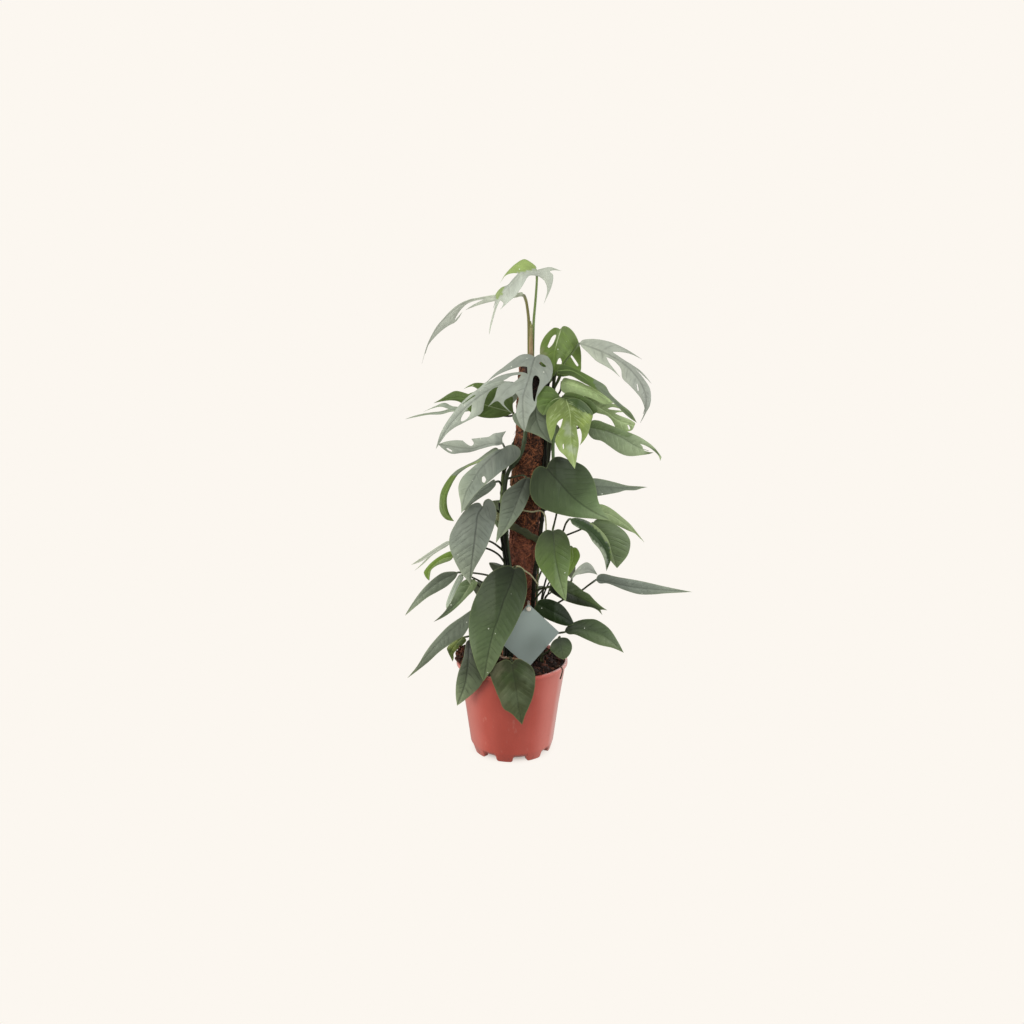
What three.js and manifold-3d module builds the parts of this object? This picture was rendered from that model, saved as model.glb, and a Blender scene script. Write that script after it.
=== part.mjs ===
// A climbing silver-leaved house plant on a coir pole, standing in a round red nursery pot.
// Millimetres, +Z up, origin on the pot's axis at the level of its feet. The plant faces -Y.
import * as THREE from 'three'
import { mergeVertices } from 'three/addons/utils/BufferGeometryUtils.js'
import Module from 'manifold-3d'

// Driving dimensions
const POT_HEIGHT = 118
const RIM_RADIUS = 70
const BASE_RADIUS = 48
const WALL = 1.6
const FOOT_HEIGHT = 8
const FEET = 8
const FOOT_TURN = 34
const FLOOR_TOP = FOOT_HEIGHT + 2
const HUB_RADIUS = 9
const SOIL_CENTRE = 120
const GAP = 0.35
const POLE_FOOT_X = 5.5
const POLE_LEAN = 0.06
const POLE_LEAN_FROM = 120
const POLE_RADIUS = 18
const CORE_RADIUS = 9
const POLE_TOP = 487
const COIR_BOTTOM = 60
const VINE_RADIUS = 2.6
const VINE_SIDES = 7
const STALK_RADIUS = 1.5
const STALK_SIDES = 5
const BLADE = 0.8
const CARD_SIDE = 57
const PIN_RADIUS = 1.5

// Leaves are laid out as they are seen from the front: [across, up] are millimetres on the upright
// plane through the pot's axis, and a third number is the depth behind (+) or before (-) it.
const EYE_DISTANCE = 1183
const EYE_HEIGHT = 555

const wasm = await Module()
wasm.setup()

// The point in space that shows at [across, up] when it lies at this depth
function seen(across, up, depth) {
  const spread = (EYE_DISTANCE + depth) / EYE_DISTANCE
  return new THREE.Vector3(across * spread, depth, EYE_HEIGHT + (up - EYE_HEIGHT) * spread)
}

// Foliage at the sides sweeps back round the pole, some leaves more than others. The listed depths
// are those before this sweep, which is nothing near the pole.
const SWEEP_CENTRE = 16
const SWEEP_FREE = 36
const SWEEP = 0.4
const SWAY = 12
const SWAY_HEIGHT = 26
const SWAY_REACH = 25

function swept(across, up, depth) {
  const reach = Math.max(0, Math.abs(across - SWEEP_CENTRE) - SWEEP_FREE)
  const sway = SWAY * Math.sin(up / SWAY_HEIGHT) * Math.min(1, reach / SWAY_REACH)
  return seen(across, up, depth + SWEEP * reach + sway)
}

function solid(geometry) {
  const bare = geometry.index ? geometry.clone() : geometry
  bare.deleteAttribute('normal')
  bare.deleteAttribute('uv')
  const merged = mergeVertices(bare, 1e-4)
  return new wasm.Manifold(new wasm.Mesh({
    numProp: 3,
    vertProperties: new Float32Array(merged.attributes.position.array),
    triVerts: new Uint32Array(merged.index.array),
  }))
}

function geometryOf(body) {
  const mesh = body.getMesh()
  const geometry = new THREE.BufferGeometry()
  geometry.setAttribute('position', new THREE.BufferAttribute(new Float32Array(mesh.vertProperties), 3))
  geometry.setIndex(new THREE.BufferAttribute(new Uint32Array(mesh.triVerts), 1))
  return geometry
}

function polygon(radius, sides) {
  const corners = []
  for (let i = 0; i < sides; i++) {
    const turn = (i + 0.5) * 2 * Math.PI / sides
    corners.push(new THREE.Vector2(radius * Math.cos(turn), radius * Math.sin(turn)))
  }
  return new THREE.Shape(corners)
}

function tube(points, radius, sides, steps) {
  const extrudePath = new THREE.CatmullRomCurve3(points, false, 'centripetal')
  return solid(new THREE.ExtrudeGeometry(polygon(radius, sides), { steps, extrudePath }))
}

const poleX = (height) => POLE_FOOT_X + POLE_LEAN * (height - POLE_LEAN_FROM)

// Shifts an upright geometry sideways so that it follows the leaning pole
function tilted(geometry) {
  const position = geometry.attributes.position
  for (let i = 0; i < position.count; i++) position.setX(i, position.getX(i) + poleX(position.getZ(i)))
  return geometry
}

function lathe(profile, segments) {
  const points = profile.map(([radius, height]) => new THREE.Vector2(radius, height))
  return new THREE.LatheGeometry(points, segments).rotateX(Math.PI / 2)
}

function uprightCylinder(radius, bottom, top, sides) {
  const geometry = new THREE.CylinderGeometry(radius, radius, top - bottom, sides).rotateX(Math.PI / 2)
  return geometry.translate(0, 0, (top + bottom) / 2)
}

const part = new THREE.Group()

function add(name, body, color, roughness = 0.6) {
  const material = new THREE.MeshStandardMaterial({ color, roughness, metalness: 0 })
  const mesh = new THREE.Mesh(geometryOf(body), material)
  mesh.name = name
  part.add(mesh)
}

// Pot: one moulded shell with a thin rim lip, a bent-in foot ring cut by arches, drain holes in the
// floor and a flat hub under its middle
const LIP_BOTTOM = POT_HEIGHT - 5
const WALL_TOP_RADIUS = RIM_RADIUS - 2.4
const BEND_HEIGHT = 12
const BEND_RADIUS = BASE_RADIUS + 3.5
const LIP_THICK = 3
const ARCH_WIDTH = 17.6
const ARCH_REACH = 20
const ARCH_RADIUS = BASE_RADIUS - 1
const DRAIN_RADIUS = 4
const DRAIN_CIRCLE = 28

function pot() {
  let body = solid(lathe([
    [0, FOOT_HEIGHT], [BASE_RADIUS - 7, FOOT_HEIGHT], [BASE_RADIUS - 6, 0], [BASE_RADIUS, 0],
    [BEND_RADIUS, BEND_HEIGHT], [WALL_TOP_RADIUS, LIP_BOTTOM], [RIM_RADIUS, LIP_BOTTOM],
    [RIM_RADIUS, POT_HEIGHT - 1], [RIM_RADIUS - 1, POT_HEIGHT], [RIM_RADIUS - LIP_THICK, POT_HEIGHT],
    [WALL_TOP_RADIUS - WALL, LIP_BOTTOM], [BEND_RADIUS - WALL, BEND_HEIGHT + 1],
    [BASE_RADIUS - 0.5, FLOOR_TOP], [0, FLOOR_TOP],
  ], 40))
  body = body.add(solid(uprightCylinder(HUB_RADIUS, 0, FOOT_HEIGHT + 0.5, 16)))
  for (let i = 0; i < FEET; i++) {
    const turn = THREE.MathUtils.degToRad(FOOT_TURN - 90 + (i + 0.5) * 360 / FEET)
    const arch = new THREE.BoxGeometry(ARCH_REACH, ARCH_WIDTH, FOOT_HEIGHT + 1)
    const drain = uprightCylinder(DRAIN_RADIUS, FOOT_HEIGHT - 1, FLOOR_TOP + 1, 8)
    body = body.subtract(solid(arch.translate(ARCH_RADIUS, 0, FOOT_HEIGHT / 2 - 1).rotateZ(turn)))
    body = body.subtract(solid(drain.translate(DRAIN_CIRCLE, 0, 0).rotateZ(turn)))
  }
  return body
}

// Vines: real places in space, from the soil up beside the pole
const VINES = {
  left: [[-9, -19, 88], [-8, -20, 180], [-7, -18.5, 238], [-11.5, -17.5, 275], [-15.5, -18, 303],
    [-12.3, -18, 326], [-10, -18, 358], [-5, -9, 372], [-1, 2, 382], [4, 14, 392], [9, 20, 408],
    [14, 22.5, 462]],
  front: [[-1, -22, 88], [-1, -23, 190], [-2, -23.5, 240], [-7, -23.5, 275], [-8.5, -23.5, 310],
    [-8, -24, 345], [-4, -24, 361], [8, -24, 377], [13.5, -24.5, 392], [18.5, -24.5, 440], [22, -21, 495],
    [22.3, -10, 516], [22, -4, 536]],
  right: [[26, -16, 88], [26, -16.5, 205], [28, -16.5, 235], [33, -16, 270], [42, -12, 360], [48, -8, 430],
    [50, -6, 476]],
  back: [[9, 25, 88], [14, 25, 250], [22, 25, 400], [26, 25, 466]],
  backLeft: [[-12, 26, 88], [-12, 26, 180], [-8, 26, 244]],
  backRight: [[28, 26, 88], [31, 26, 200], [35, 26, 284]],
}

// The point of a vine at this height
function onVine(name, height) {
  const points = VINES[name]
  const next = points.findIndex((point) => point[2] >= height)
  const [low, high] = [points[next - 1], points[next]]
  const share = (height - low[2]) / (high[2] - low[2])
  return new THREE.Vector3(...low).lerp(new THREE.Vector3(...high), share)
}

function vineBody(name, grow = 0) {
  const points = VINES[name].map((point) => new THREE.Vector3(...point))
  points[0].z -= grow
  return tube(points, VINE_RADIUS + grow, VINE_SIDES, 2 * (points.length - 1))
}

// Blades
const RIB_SAMPLES = 24
const RIB_STEPS = 5
const EDGE_STEPS = 1

// A smooth run through the listed points, broken at each point whose third value is set
function edgeThrough(start, listed, end) {
  const all = [start, ...listed, end]
  const out = []
  let run = [all[0]]
  for (let i = 1; i < all.length; i++) {
    run.push(all[i])
    if (i < all.length - 1 && !all[i][2]) continue
    const knots = run.map(([x, z]) => new THREE.Vector2(x, z))
    const steps = run.length > 2 ? EDGE_STEPS * (run.length - 1) : 1
    out.push(...new THREE.SplineCurve(knots).getPoints(steps).slice(0, -1))
    run = [all[i]]
  }
  out.push(new THREE.Vector2(end[0], end[1]))
  return out
}

// Depth of a blade at a seen point: that of the midrib near it, plus how far the half leans
function depthAt(rib, x, z, side, lean) {
  let sum = 0
  let weights = 0
  let nearest = Infinity
  for (const knot of rib) {
    const square = (knot.x - x) ** 2 + (knot.y - z) ** 2
    const weight = 1 / (square + 4) ** 2
    sum += weight * knot.z
    weights += weight
    nearest = Math.min(nearest, square)
  }
  return sum / weights + lean[side] * Math.sqrt(nearest)
}

// A thin closed plate through a leaf outline, folded along its midrib. lean holds, for the first
// and the second half, how much each millimetre away from the midrib goes back.
function bladeBody({ mid, a, b, holesA = [], holesB = [], lean = [0.12, 0.12] }) {
  const ribCurve = new THREE.CatmullRomCurve3(mid.map(([x, z, depth]) => new THREE.Vector3(x, z, depth)))
  const rib = ribCurve.getPoints(RIB_SAMPLES)
  const middle = ribCurve.getPoints(RIB_STEPS).map((knot) => new THREE.Vector2(knot.x, knot.y))
  const flat = [...middle]
  const places = middle.map((knot) => swept(knot.x, knot.y, depthAt(rib, knot.x, knot.y, 0, [0, 0])))
  const triangles = []
  const first = mid[0]
  const last = mid[mid.length - 1]
  ;[[a, holesA], [b, holesB]].forEach(([listed, holes], side) => {
    const edge = edgeThrough(first, listed, last).slice(1, -1)
    const place = (knot) => {
      flat.push(knot)
      places.push(swept(knot.x, knot.y, depthAt(rib, knot.x, knot.y, side, lean)))
      return flat.length - 1
    }
    const outline = [0, ...edge.map(place), RIB_STEPS]
    for (let i = RIB_STEPS - 1; i > 0; i--) outline.push(i)
    const rings = holes.map((hole) => hole.map(([x, z]) => place(new THREE.Vector2(x, z))))
    if (THREE.ShapeUtils.isClockWise(outline.map((i) => flat[i]))) outline.reverse()
    rings.forEach((ring) => {
      if (!THREE.ShapeUtils.isClockWise(ring.map((i) => flat[i]))) ring.reverse()
    })
    const order = [...outline, ...rings.flat()]
    const flatRings = rings.map((ring) => ring.map((i) => flat[i]))
    const faces = THREE.ShapeUtils.triangulateShape(outline.map((i) => flat[i]), flatRings)
    faces.forEach((face) => triangles.push(face.map((i) => order[i])))
  })
  return plate(places, triangles)
}

// Thickens a sheet of triangles into a closed body
function plate(places, triangles) {
  const normals = places.map(() => new THREE.Vector3())
  const edges = new Map()
  for (const [i, j, k] of triangles) {
    const u = places[j].clone().sub(places[i])
    const face = u.cross(places[k].clone().sub(places[i]))
    ;[i, j, k].forEach((corner) => normals[corner].add(face))
    ;[[i, j], [j, k], [k, i]].forEach(([from, to]) => edges.set(`${from} ${to}`, [from, to]))
  }
  const count = places.length
  const position = []
  normals.forEach((normal) => normal.normalize())
  for (const way of [0.5, -0.5]) {
    places.forEach((point, i) => position.push(...point.clone().addScaledVector(normals[i], way * BLADE)))
  }
  const index = []
  for (const [i, j, k] of triangles) index.push(i, j, k, i + count, k + count, j + count)
  for (const [from, to] of edges.values()) {
    if (edges.has(`${to} ${from}`)) continue
    index.push(to, from, from + count, to, from + count, to + count)
  }
  const geometry = new THREE.BufferGeometry()
  geometry.setAttribute('position', new THREE.Float32BufferAttribute(position, 3))
  geometry.setIndex(index)
  return solid(geometry)
}

// Stalk from inside the blade's foot to its vine, or to the last listed point
function stalkBody({ mid, stalk, vine, at }) {
  const inside = swept(...mid[0].map((value, i) => value + 0.12 * (mid[1][i] - value)))
  const points = [inside, ...stalk.map((point) => swept(...point))]
  if (vine) points.push(onVine(vine, at))
  return tube(points, STALK_RADIUS, STALK_SIDES, points.length + 1)
}

const keepOut = {}
for (const name of Object.keys(VINES)) keepOut[name] = vineBody(name, GAP)

function largest(body) {
  return body.decompose().sort((one, other) => other.volume() - one.volume())[0]
}

function leaf(name, color, row) {
  let body = bladeBody(row).add(stalkBody(row))
  if (row.vine) body = largest(body.subtract(keepOut[row.vine]))
  add(name, body, color, 0.45)
}

// Soil: fills the pot, mounded, with a rough top
const SOIL_EDGE = 114
const SOIL_RADIUS = WALL_TOP_RADIUS - WALL - 0.9
const ROUGH = 1.4
const HOLE_TOP = POT_HEIGHT + 30

function soil() {
  const geometry = lathe([
    [0, FLOOR_TOP + GAP], [BASE_RADIUS - 1.2, FLOOR_TOP + GAP],
    [BEND_RADIUS - WALL - 0.5, BEND_HEIGHT + 1.5],
    [SOIL_RADIUS - 0.3, SOIL_EDGE - 4], [SOIL_RADIUS - 5, SOIL_EDGE], [54, SOIL_EDGE + 1.5],
    [44, SOIL_EDGE + 3],
    [32, SOIL_EDGE + 4.5], [20, SOIL_CENTRE - 1], [0, SOIL_CENTRE],
  ], 20)
  const position = geometry.attributes.position
  for (let i = 0; i < position.count; i++) {
    const [x, y, z] = [position.getX(i), position.getY(i), position.getZ(i)]
    if (z < SOIL_EDGE) continue
    position.setZ(i, z + ROUGH * (Math.sin(x * 0.31 + y * 0.17) + Math.sin(y * 0.37 - x * 0.11)))
  }
  let body = solid(geometry)
  body = body.subtract(solid(tilted(uprightCylinder(CORE_RADIUS + GAP, FLOOR_TOP - 1, HOLE_TOP, 16))))
  body = body.subtract(solid(tilted(uprightCylinder(POLE_RADIUS + 0.6, COIR_BOTTOM - GAP, HOLE_TOP, 20))))
  for (const name of Object.keys(VINES)) body = body.subtract(keepOut[name])
  return largest(body)
}

// Pole: a round core inside a sleeve of coir with a lumpy outside
const COIR_SIDES = 16
const COIR_RINGS = 18

function coir(pinHole) {
  const height = POLE_TOP - COIR_BOTTOM
  const outer = new THREE.CylinderGeometry(1, 1, height, COIR_SIDES, COIR_RINGS).rotateX(Math.PI / 2)
  const position = outer.translate(0, 0, COIR_BOTTOM + height / 2).attributes.position
  for (let i = 0; i < position.count; i++) {
    const [x, y, z] = [position.getX(i), position.getY(i), position.getZ(i)]
    const turn = Math.round(Math.atan2(y, x) / Math.PI * COIR_SIDES / 2) / COIR_SIDES * 2 * Math.PI
    const lump = 0.5 * Math.sin(5 * turn + z / 7) + 0.3 * Math.sin(9 * turn - z / 4.1)
    const radius = Math.hypot(x, y) > 0.5 ? POLE_RADIUS - 0.8 + lump : 0
    position.setX(i, radius * x)
    position.setY(i, radius * y)
  }
  const bore = uprightCylinder(CORE_RADIUS + GAP, COIR_BOTTOM - 1, POLE_TOP + 1, 16)
  return solid(tilted(outer)).subtract(solid(tilted(bore))).subtract(pinHole)
}

// Tie: a flat band drawn round the pole and the three vines at its front, lower on the right
const TIE_HEIGHT = 286
const TIE_WIDTH = 5
const TIE_SLOPE = -0.45

function tie() {
  const drop = (x) => TIE_SLOPE * (x - poleX(TIE_HEIGHT))
  const crossed = (name) => onVine(name, TIE_HEIGHT + drop(onVine(name, TIE_HEIGHT).x))
  const held = [
    [new THREE.Vector2(poleX(TIE_HEIGHT), 0), POLE_RADIUS + 0.2],
    [crossed('left'), VINE_RADIUS + 0.3],
    [crossed('front'), VINE_RADIUS + 0.3],
    [crossed('right'), VINE_RADIUS + 0.3],
  ]
  const loop = (clear) => {
    const points = []
    for (let i = 0; i < 32; i++) {
      const turn = i / 16 * Math.PI
      const [cos, sin] = [Math.cos(turn), Math.sin(turn)]
      const reach = ([centre, radius]) => centre.x * cos + centre.y * sin + radius
      const [centre, radius] = held.reduce((best, next) => reach(next) > reach(best) ? next : best)
      points.push(new THREE.Vector2(centre.x + (radius + clear) * cos, centre.y + (radius + clear) * sin))
    }
    return points
  }
  const shape = new THREE.Shape(loop(1.6))
  shape.holes.push(new THREE.Path(loop(0.5)))
  const geometry = new THREE.ExtrudeGeometry(shape, { depth: TIE_WIDTH, bevelEnabled: false })
  const position = geometry.attributes.position
  const bottom = TIE_HEIGHT - TIE_WIDTH / 2
  for (let i = 0; i < position.count; i++) {
    position.setZ(i, position.getZ(i) + bottom + drop(position.getX(i)))
  }
  return solid(geometry)
}

// Card: a square tag on its corner, hung on a pin pushed into the coir
const CARD_CENTRE = [20, -42, 162]
const CARD_THICK = 1
const CARD_YAW = 0.34
const PIN_DROP = 5.5
const PIN_AT = [CARD_CENTRE[0], CARD_CENTRE[2] + CARD_SIDE / Math.SQRT2 - PIN_DROP]
const PIN_HEAD = 3
const PIN_FRONT = CARD_CENTRE[1] - 2
const PIN_BACK = -9

function pinShaft(radius, front, back) {
  const shaft = new THREE.CylinderGeometry(radius, radius, back - front, 10)
  return solid(shaft.translate(PIN_AT[0], (front + back) / 2, PIN_AT[1]))
}

function pin() {
  return pinShaft(PIN_RADIUS, PIN_FRONT, PIN_BACK).add(pinShaft(PIN_HEAD, PIN_FRONT - 2, PIN_FRONT))
}

function card() {
  const geometry = new THREE.BoxGeometry(CARD_SIDE, CARD_THICK, CARD_SIDE)
  geometry.rotateY(Math.PI / 4).rotateZ(CARD_YAW)
  const body = solid(geometry.translate(...CARD_CENTRE))
  return body.subtract(pinShaft(PIN_RADIUS + 0.5, CARD_CENTRE[1] - 8, CARD_CENTRE[1] + 8))
}

// Aerial roots, grown from the front vine
const AERIAL_ROOTS = [
  [[-7, 313, -24], [9, 311, -26], [18, 307, -25.5], [25, 305, -25.5], [35, 308, -26], [39.5, 305, -28],
    [41, 293, -30], [41, 282, -31]],
  [[-1, 236, -24], [8, 238, -26], [16, 232, -27], [22, 228, -28], [33, 214, -28]],
]
const ROOT_RADIUS = 0.9

add('pot', pot(), '#b25a4b', 0.5)
add('soil', soil(), '#2b1c16', 1)
const core = solid(tilted(uprightCylinder(CORE_RADIUS, FLOOR_TOP + GAP, POLE_TOP + 1, 16)))
add('pole_core', core, '#8a6b48', 0.8)
add('coir_wrap', coir(pinShaft(PIN_RADIUS + GAP, CARD_CENTRE[1], PIN_BACK + 0.5)), '#69402c', 1)
add('tie_band', tie(), '#5d6b45', 0.7)
add('tag_card', card(), '#73827f', 0.6)
add('tag_pin', pin(), '#e3cfae', 0.5)
add('vine_left', vineBody('left'), '#66703f', 0.6)
add('vine_front', AERIAL_ROOTS.reduce((body, path) => {
  const points = path.map((point) => seen(...point))
  return body.add(tube(points, ROOT_RADIUS, 5, 2 * (points.length - 1)))
}, vineBody('front')), '#66703f', 0.6)
add('vine_right', vineBody('right'), '#4a4a2e', 0.6)

// Leaf colours
const SILVER = '#a9b0a4'
const GREY_GREEN = '#7c8a78'
const DARK = '#3f5133'
const MID = '#66824a'
const FRESH = '#93ad60'
const LIME = '#97b257'

// Crown
leaf('leaf_top_split', SILVER, {
  mid: [[28, 594, -8], [10, 588, -14], [-2, 577, -22], [-12, 566, -30], [-20, 550, -37], [-27, 520, -42]],
  a: [[28, 598], [22, 603], [14, 606.5], [5, 602], [-3, 595], [-9, 588], [-14, 579, 1], [-8, 587.5],
    [0, 590.5], [7, 590.5, 1], [0, 583], [-5, 577.5], [-13, 574], [-19, 567], [-19, 562], [-22, 551, 1],
    [-19, 557, 1], [-23, 542], [-26, 530]],
  b: [[35, 596], [45, 597.5], [58, 593, 1], [50, 594], [44, 592.5], [48, 588], [46, 575], [37, 555, 1],
    [41, 570], [39, 580], [33, 586], [26, 588, 1], [19, 587], [12, 576], [4, 565], [-5, 557],
    [-14, 549, 1], [-10, 556], [-14, 560, 1], [-18, 551], [-22, 539]],
  stalk: [[28.5, 593, -7], [29, 585, -5], [27.5, 562, -4], [24.3, 536.6, -4]],
})
leaf('leaf_top_left_long', SILVER, {
  mid: [[13, 565.5, -3], [-20, 563.8, 4], [-50, 558.8, 8], [-75, 543, 12], [-95, 517, 15],
    [-107, 486, 15]],
  a: [[12, 569], [3, 568], [-20, 566.3], [-40, 562.8], [-50, 560.8], [-60, 556.6], [-70, 549.8],
    [-80, 539.7], [-90, 527.7], [-100, 508.8]],
  b: [[5, 563], [-10, 560.5], [-25, 558], [-40, 554], [-55, 548.5, 1], [-45, 555], [-33, 561, 1],
    [-43, 559.3], [-52, 556], [-60, 549], [-66, 540], [-67.5, 536.5, 1], [-63, 541.5], [-58, 547, 1],
    [-62, 540], [-67, 534.5], [-72, 532], [-80, 527], [-90, 518.4], [-100, 506]],
  stalk: [[14, 565.3, -3], [16.5, 559, -3], [18.5, 548, -4], [19.7, 536.6, -4]],
})
leaf('leaf_crown_rounded', MID, {
  mid: [[57, 526, -18], [53.5, 514, -22], [50.5, 500, -24], [50, 486, -25], [52, 472, -26]],
  a: [[54, 528], [49, 528], [42, 522.5], [36.5, 515], [33.5, 507], [33, 497], [34, 486], [38, 478],
    [45, 473]],
  b: [[60, 530], [66, 529], [73, 522.5], [78.5, 512], [81.5, 500], [82, 488], [81, 477], [71, 473],
    [60, 471]],
  holesA: [[[42, 506.5], [44, 505], [48.5, 510], [52, 518.5], [50.5, 520], [46.5, 516.5]]],
  holesB: [[[53, 486], [54.5, 491], [57, 493], [59, 489], [58.5, 486]], [[69.5, 494.5], [71, 496],
    [78.5, 485.5], [76.5, 484]]],
  stalk: [[58, 525, -16], [62, 513, -8], [61, 494, -4], [57, 474, -5]], vine: 'right', at: 456,
})
leaf('leaf_crown_silver', SILVER, {
  mid: [[27, 494, -38], [24, 485, -42], [21.5, 474, -48], [17, 460, -53], [13, 447, -57],
    [13, 430, -60], [15, 405, -60]],
  a: [[20, 497.5], [10, 496.5], [0, 490], [-10, 482.3], [-20, 474.8], [-31, 464, 1], [-18, 472.5],
    [-3, 479], [11, 483], [18, 482.5, 1], [18.5, 474.5, 1], [10, 476.5], [-6, 474.5], [-20, 469.5],
    [-33, 460, 1], [-18, 465.5], [-9, 467], [0, 472], [11, 473.5, 1], [8, 469], [1, 464], [-4, 465.5],
    [-12, 463], [-17.5, 457], [-21, 446], [-29, 435, 1], [-18, 442], [-10, 435.5], [1, 426.5, 1],
    [-5, 432.5], [-9.5, 438.5], [-8, 443.5], [0, 448], [4.5, 451.5, 1], [8, 445], [6, 435], [5, 426],
    [9, 415]],
  b: [[32, 497], [38, 496.5], [44, 493], [48, 484], [48, 474], [45, 466], [38, 459], [33, 452],
    [29.5, 446], [29.5, 440], [27, 432.5], [21, 424], [17.5, 412]],
  holesB: [[[24, 461], [25, 469.5], [28, 472.5], [32, 470], [33, 465], [30.5, 456], [28.5, 447],
    [27, 441.5], [25, 446]], [[32, 486.5], [34.5, 488.5], [40, 484], [40, 482.5], [36, 483]]],
  lean: [0.1, 0.1],
  stalk: [[27, 491, -37], [25, 487, -32]], vine: 'front', at: 478,
})
leaf('leaf_crown_right', SILVER, {
  mid: [[80, 510, -34], [100, 503, -40], [115, 496.5, -45], [130, 488, -50], [145, 474.5, -54],
    [156, 458, -57], [160, 440, -59], [154, 416, -59]],
  a: [[83, 513.8], [92, 515.2], [103, 514.6], [115, 512], [127, 507.3], [140, 500.5], [154, 491.5, 1],
    [141, 497.5], [130, 499.8], [118.5, 500.3, 1], [126, 495.2], [134, 490], [142, 485.3], [154, 476.8],
    [166, 463, 1], [153, 475], [143.5, 482, 1], [151, 475.5], [158, 467], [164, 457.5], [166, 447],
    [165, 437], [161, 429], [157, 421]],
  b: [[83, 505.5], [90, 499], [100, 489.5], [110, 484], [120, 477.8], [129, 470, 1], [121, 480],
    [115, 487.5], [111.5, 494.2, 1], [119, 491], [125, 485.8], [129.5, 479.5], [131.5, 469],
    [140, 460.8], [148, 452.5], [154, 445], [158, 436], [158.5, 428]],
  holesB: [[[148.4, 462.5], [149.6, 462], [151.2, 455], [150, 454.4]]],
  stalk: [[78, 508.5, -33], [71, 499, -32], [62, 487, -30], [57, 470, -29], [53, 462, -20]],
    vine: 'right', at: 456,
})
leaf('leaf_crown_arching', DARK, {
  mid: [[54, 478, -39], [70, 478, -43], [90, 466.5, -44], [110, 452.5, -48], [130, 434.5, -50],
    [150, 416, -51]],
  a: [[56, 484.5], [63, 485], [72, 481.8], [85, 475.5], [100, 467.3], [111, 460.5], [117.5, 450.5],
    [130, 438.8], [142, 429]],
  b: [[54, 475], [61, 473.2], [72, 471], [85, 463.8], [100, 455.8], [114, 446.5], [127, 434.5],
    [139, 423.5]],
  stalk: [[53, 476.5, -38], [51, 469, -32]], vine: 'right', at: 446,
})
// Upper right
leaf('leaf_upper_right_pale', FRESH, {
  mid: [[59, 465, -26], [72, 461, -31], [90, 456, -35], [105, 449.5, -38], [121, 440, -40]],
  a: [[62, 469.5], [70, 468], [80, 465.3], [90, 460.5], [101, 456.3], [113, 448]],
  b: [[59, 460], [62, 455.5], [72, 453], [85, 451.5], [98, 447], [110, 441.5]],
  stalk: [[59, 464, -26], [58, 455, -20]], vine: 'right', at: 442,
})
leaf('leaf_upper_right_windowed', FRESH, {
  mid: [[84, 446, -22], [100, 436.5, -26], [113, 429.3, -29], [126, 420, -32], [147, 412.5, -32]],
  a: [[90, 451], [100, 447], [111, 441.5], [124, 438], [133, 433.5], [137.5, 429, 1], [126, 428.5],
    [124, 427, 1], [131, 424], [138, 421.5], [144, 418.5], [147.8, 415.5]],
  b: [[86, 440], [93, 433], [100, 428.5], [112, 425.2], [118, 421], [121.5, 416], [124, 411, 1],
    [131, 408], [138, 405.5], [144.5, 407.5]],
  holesA: [[[114.5, 433], [120, 434.8], [128, 433.2], [133, 430.6], [125, 431.2], [118, 432]]],
  holesB: [[[138.5, 413.2], [140.2, 413.2], [142.2, 409], [140.6, 408]]],
  stalk: [[83, 446, -21], [70, 446, -14], [58, 442, -10]], vine: 'right', at: 430,
})
leaf('leaf_upper_right_dark', DARK, {
  mid: [[61, 448, -36], [75, 446, -40], [90, 438, -44], [98, 426.5, -44]],
  a: [[64, 452], [72, 452.2], [84, 448.5], [95, 442], [101, 435.5], [102.5, 430]],
  b: [[63, 443], [72, 439], [84, 431], [92, 425]],
  lean: [0.1, 0.05],
  stalk: [[61, 447, -36], [56, 443, -24]], vine: 'right', at: 424,
})
leaf('leaf_upper_right_fingered', FRESH, {
  mid: [[65, 443, -50], [69, 430, -56], [70.5, 415, -61], [71, 398, -65], [73, 380, -67], [76, 360, -67]],
  a: [[60, 446], [52, 441], [44, 433], [41, 424], [42, 411], [44.5, 401], [47, 393.5, 1], [50.5, 402],
    [52.5, 411], [56, 418], [61, 421, 1], [59, 413], [56, 406], [53, 400], [52, 394], [54, 388],
    [58, 381.5], [64, 376], [69.5, 369]],
  b: [[72, 446], [82, 443.5], [91, 436], [97, 427], [94.5, 415], [91.5, 403], [87, 395], [82, 389, 1],
    [83.8, 396], [83.6, 404], [81, 410], [77.5, 413, 1], [78.5, 404], [80, 396], [80.5, 388], [79, 378],
    [77.5, 368]],
  holesA: [[[61, 388.5], [62, 391], [62.8, 386], [61.8, 384]]],
  stalk: [[64.5, 443, -49], [61, 441, -40], [54, 434, -24]], vine: 'right', at: 412,
})
leaf('leaf_upper_middle_veined', MID, {
  mid: [[58, 446, -40], [50, 444, -43], [43, 438, -44], [37, 425, -44]],
  a: [[54, 452], [47, 458.5], [39, 459.5], [32, 452], [29, 442], [31, 432]],
  b: [[57, 441], [51, 437.5], [48, 432], [43, 427]],
  lean: [0.05, 0.05],
  stalk: [[57.5, 446, -39], [53, 444, -30]], vine: 'right', at: 436,
})
leaf('leaf_upper_middle_grey', GREY_GREEN, {
  mid: [[28, 438, -32], [29, 425, -34], [33, 411, -36], [39, 401, -37], [48, 391, -37]],
  a: [[22, 436], [11, 430.5], [1, 425.5], [2.5, 417.5], [8, 411.8], [15, 406.5], [24, 403.5], [34, 399],
    [42, 394]],
  b: [[37, 440], [41, 430], [42, 418], [44, 407], [46.8, 398]],
  lean: [0.02, 0.05],
  stalk: [[28, 437, -32], [27, 440, -29]], vine: 'front', at: 436,
})
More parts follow.
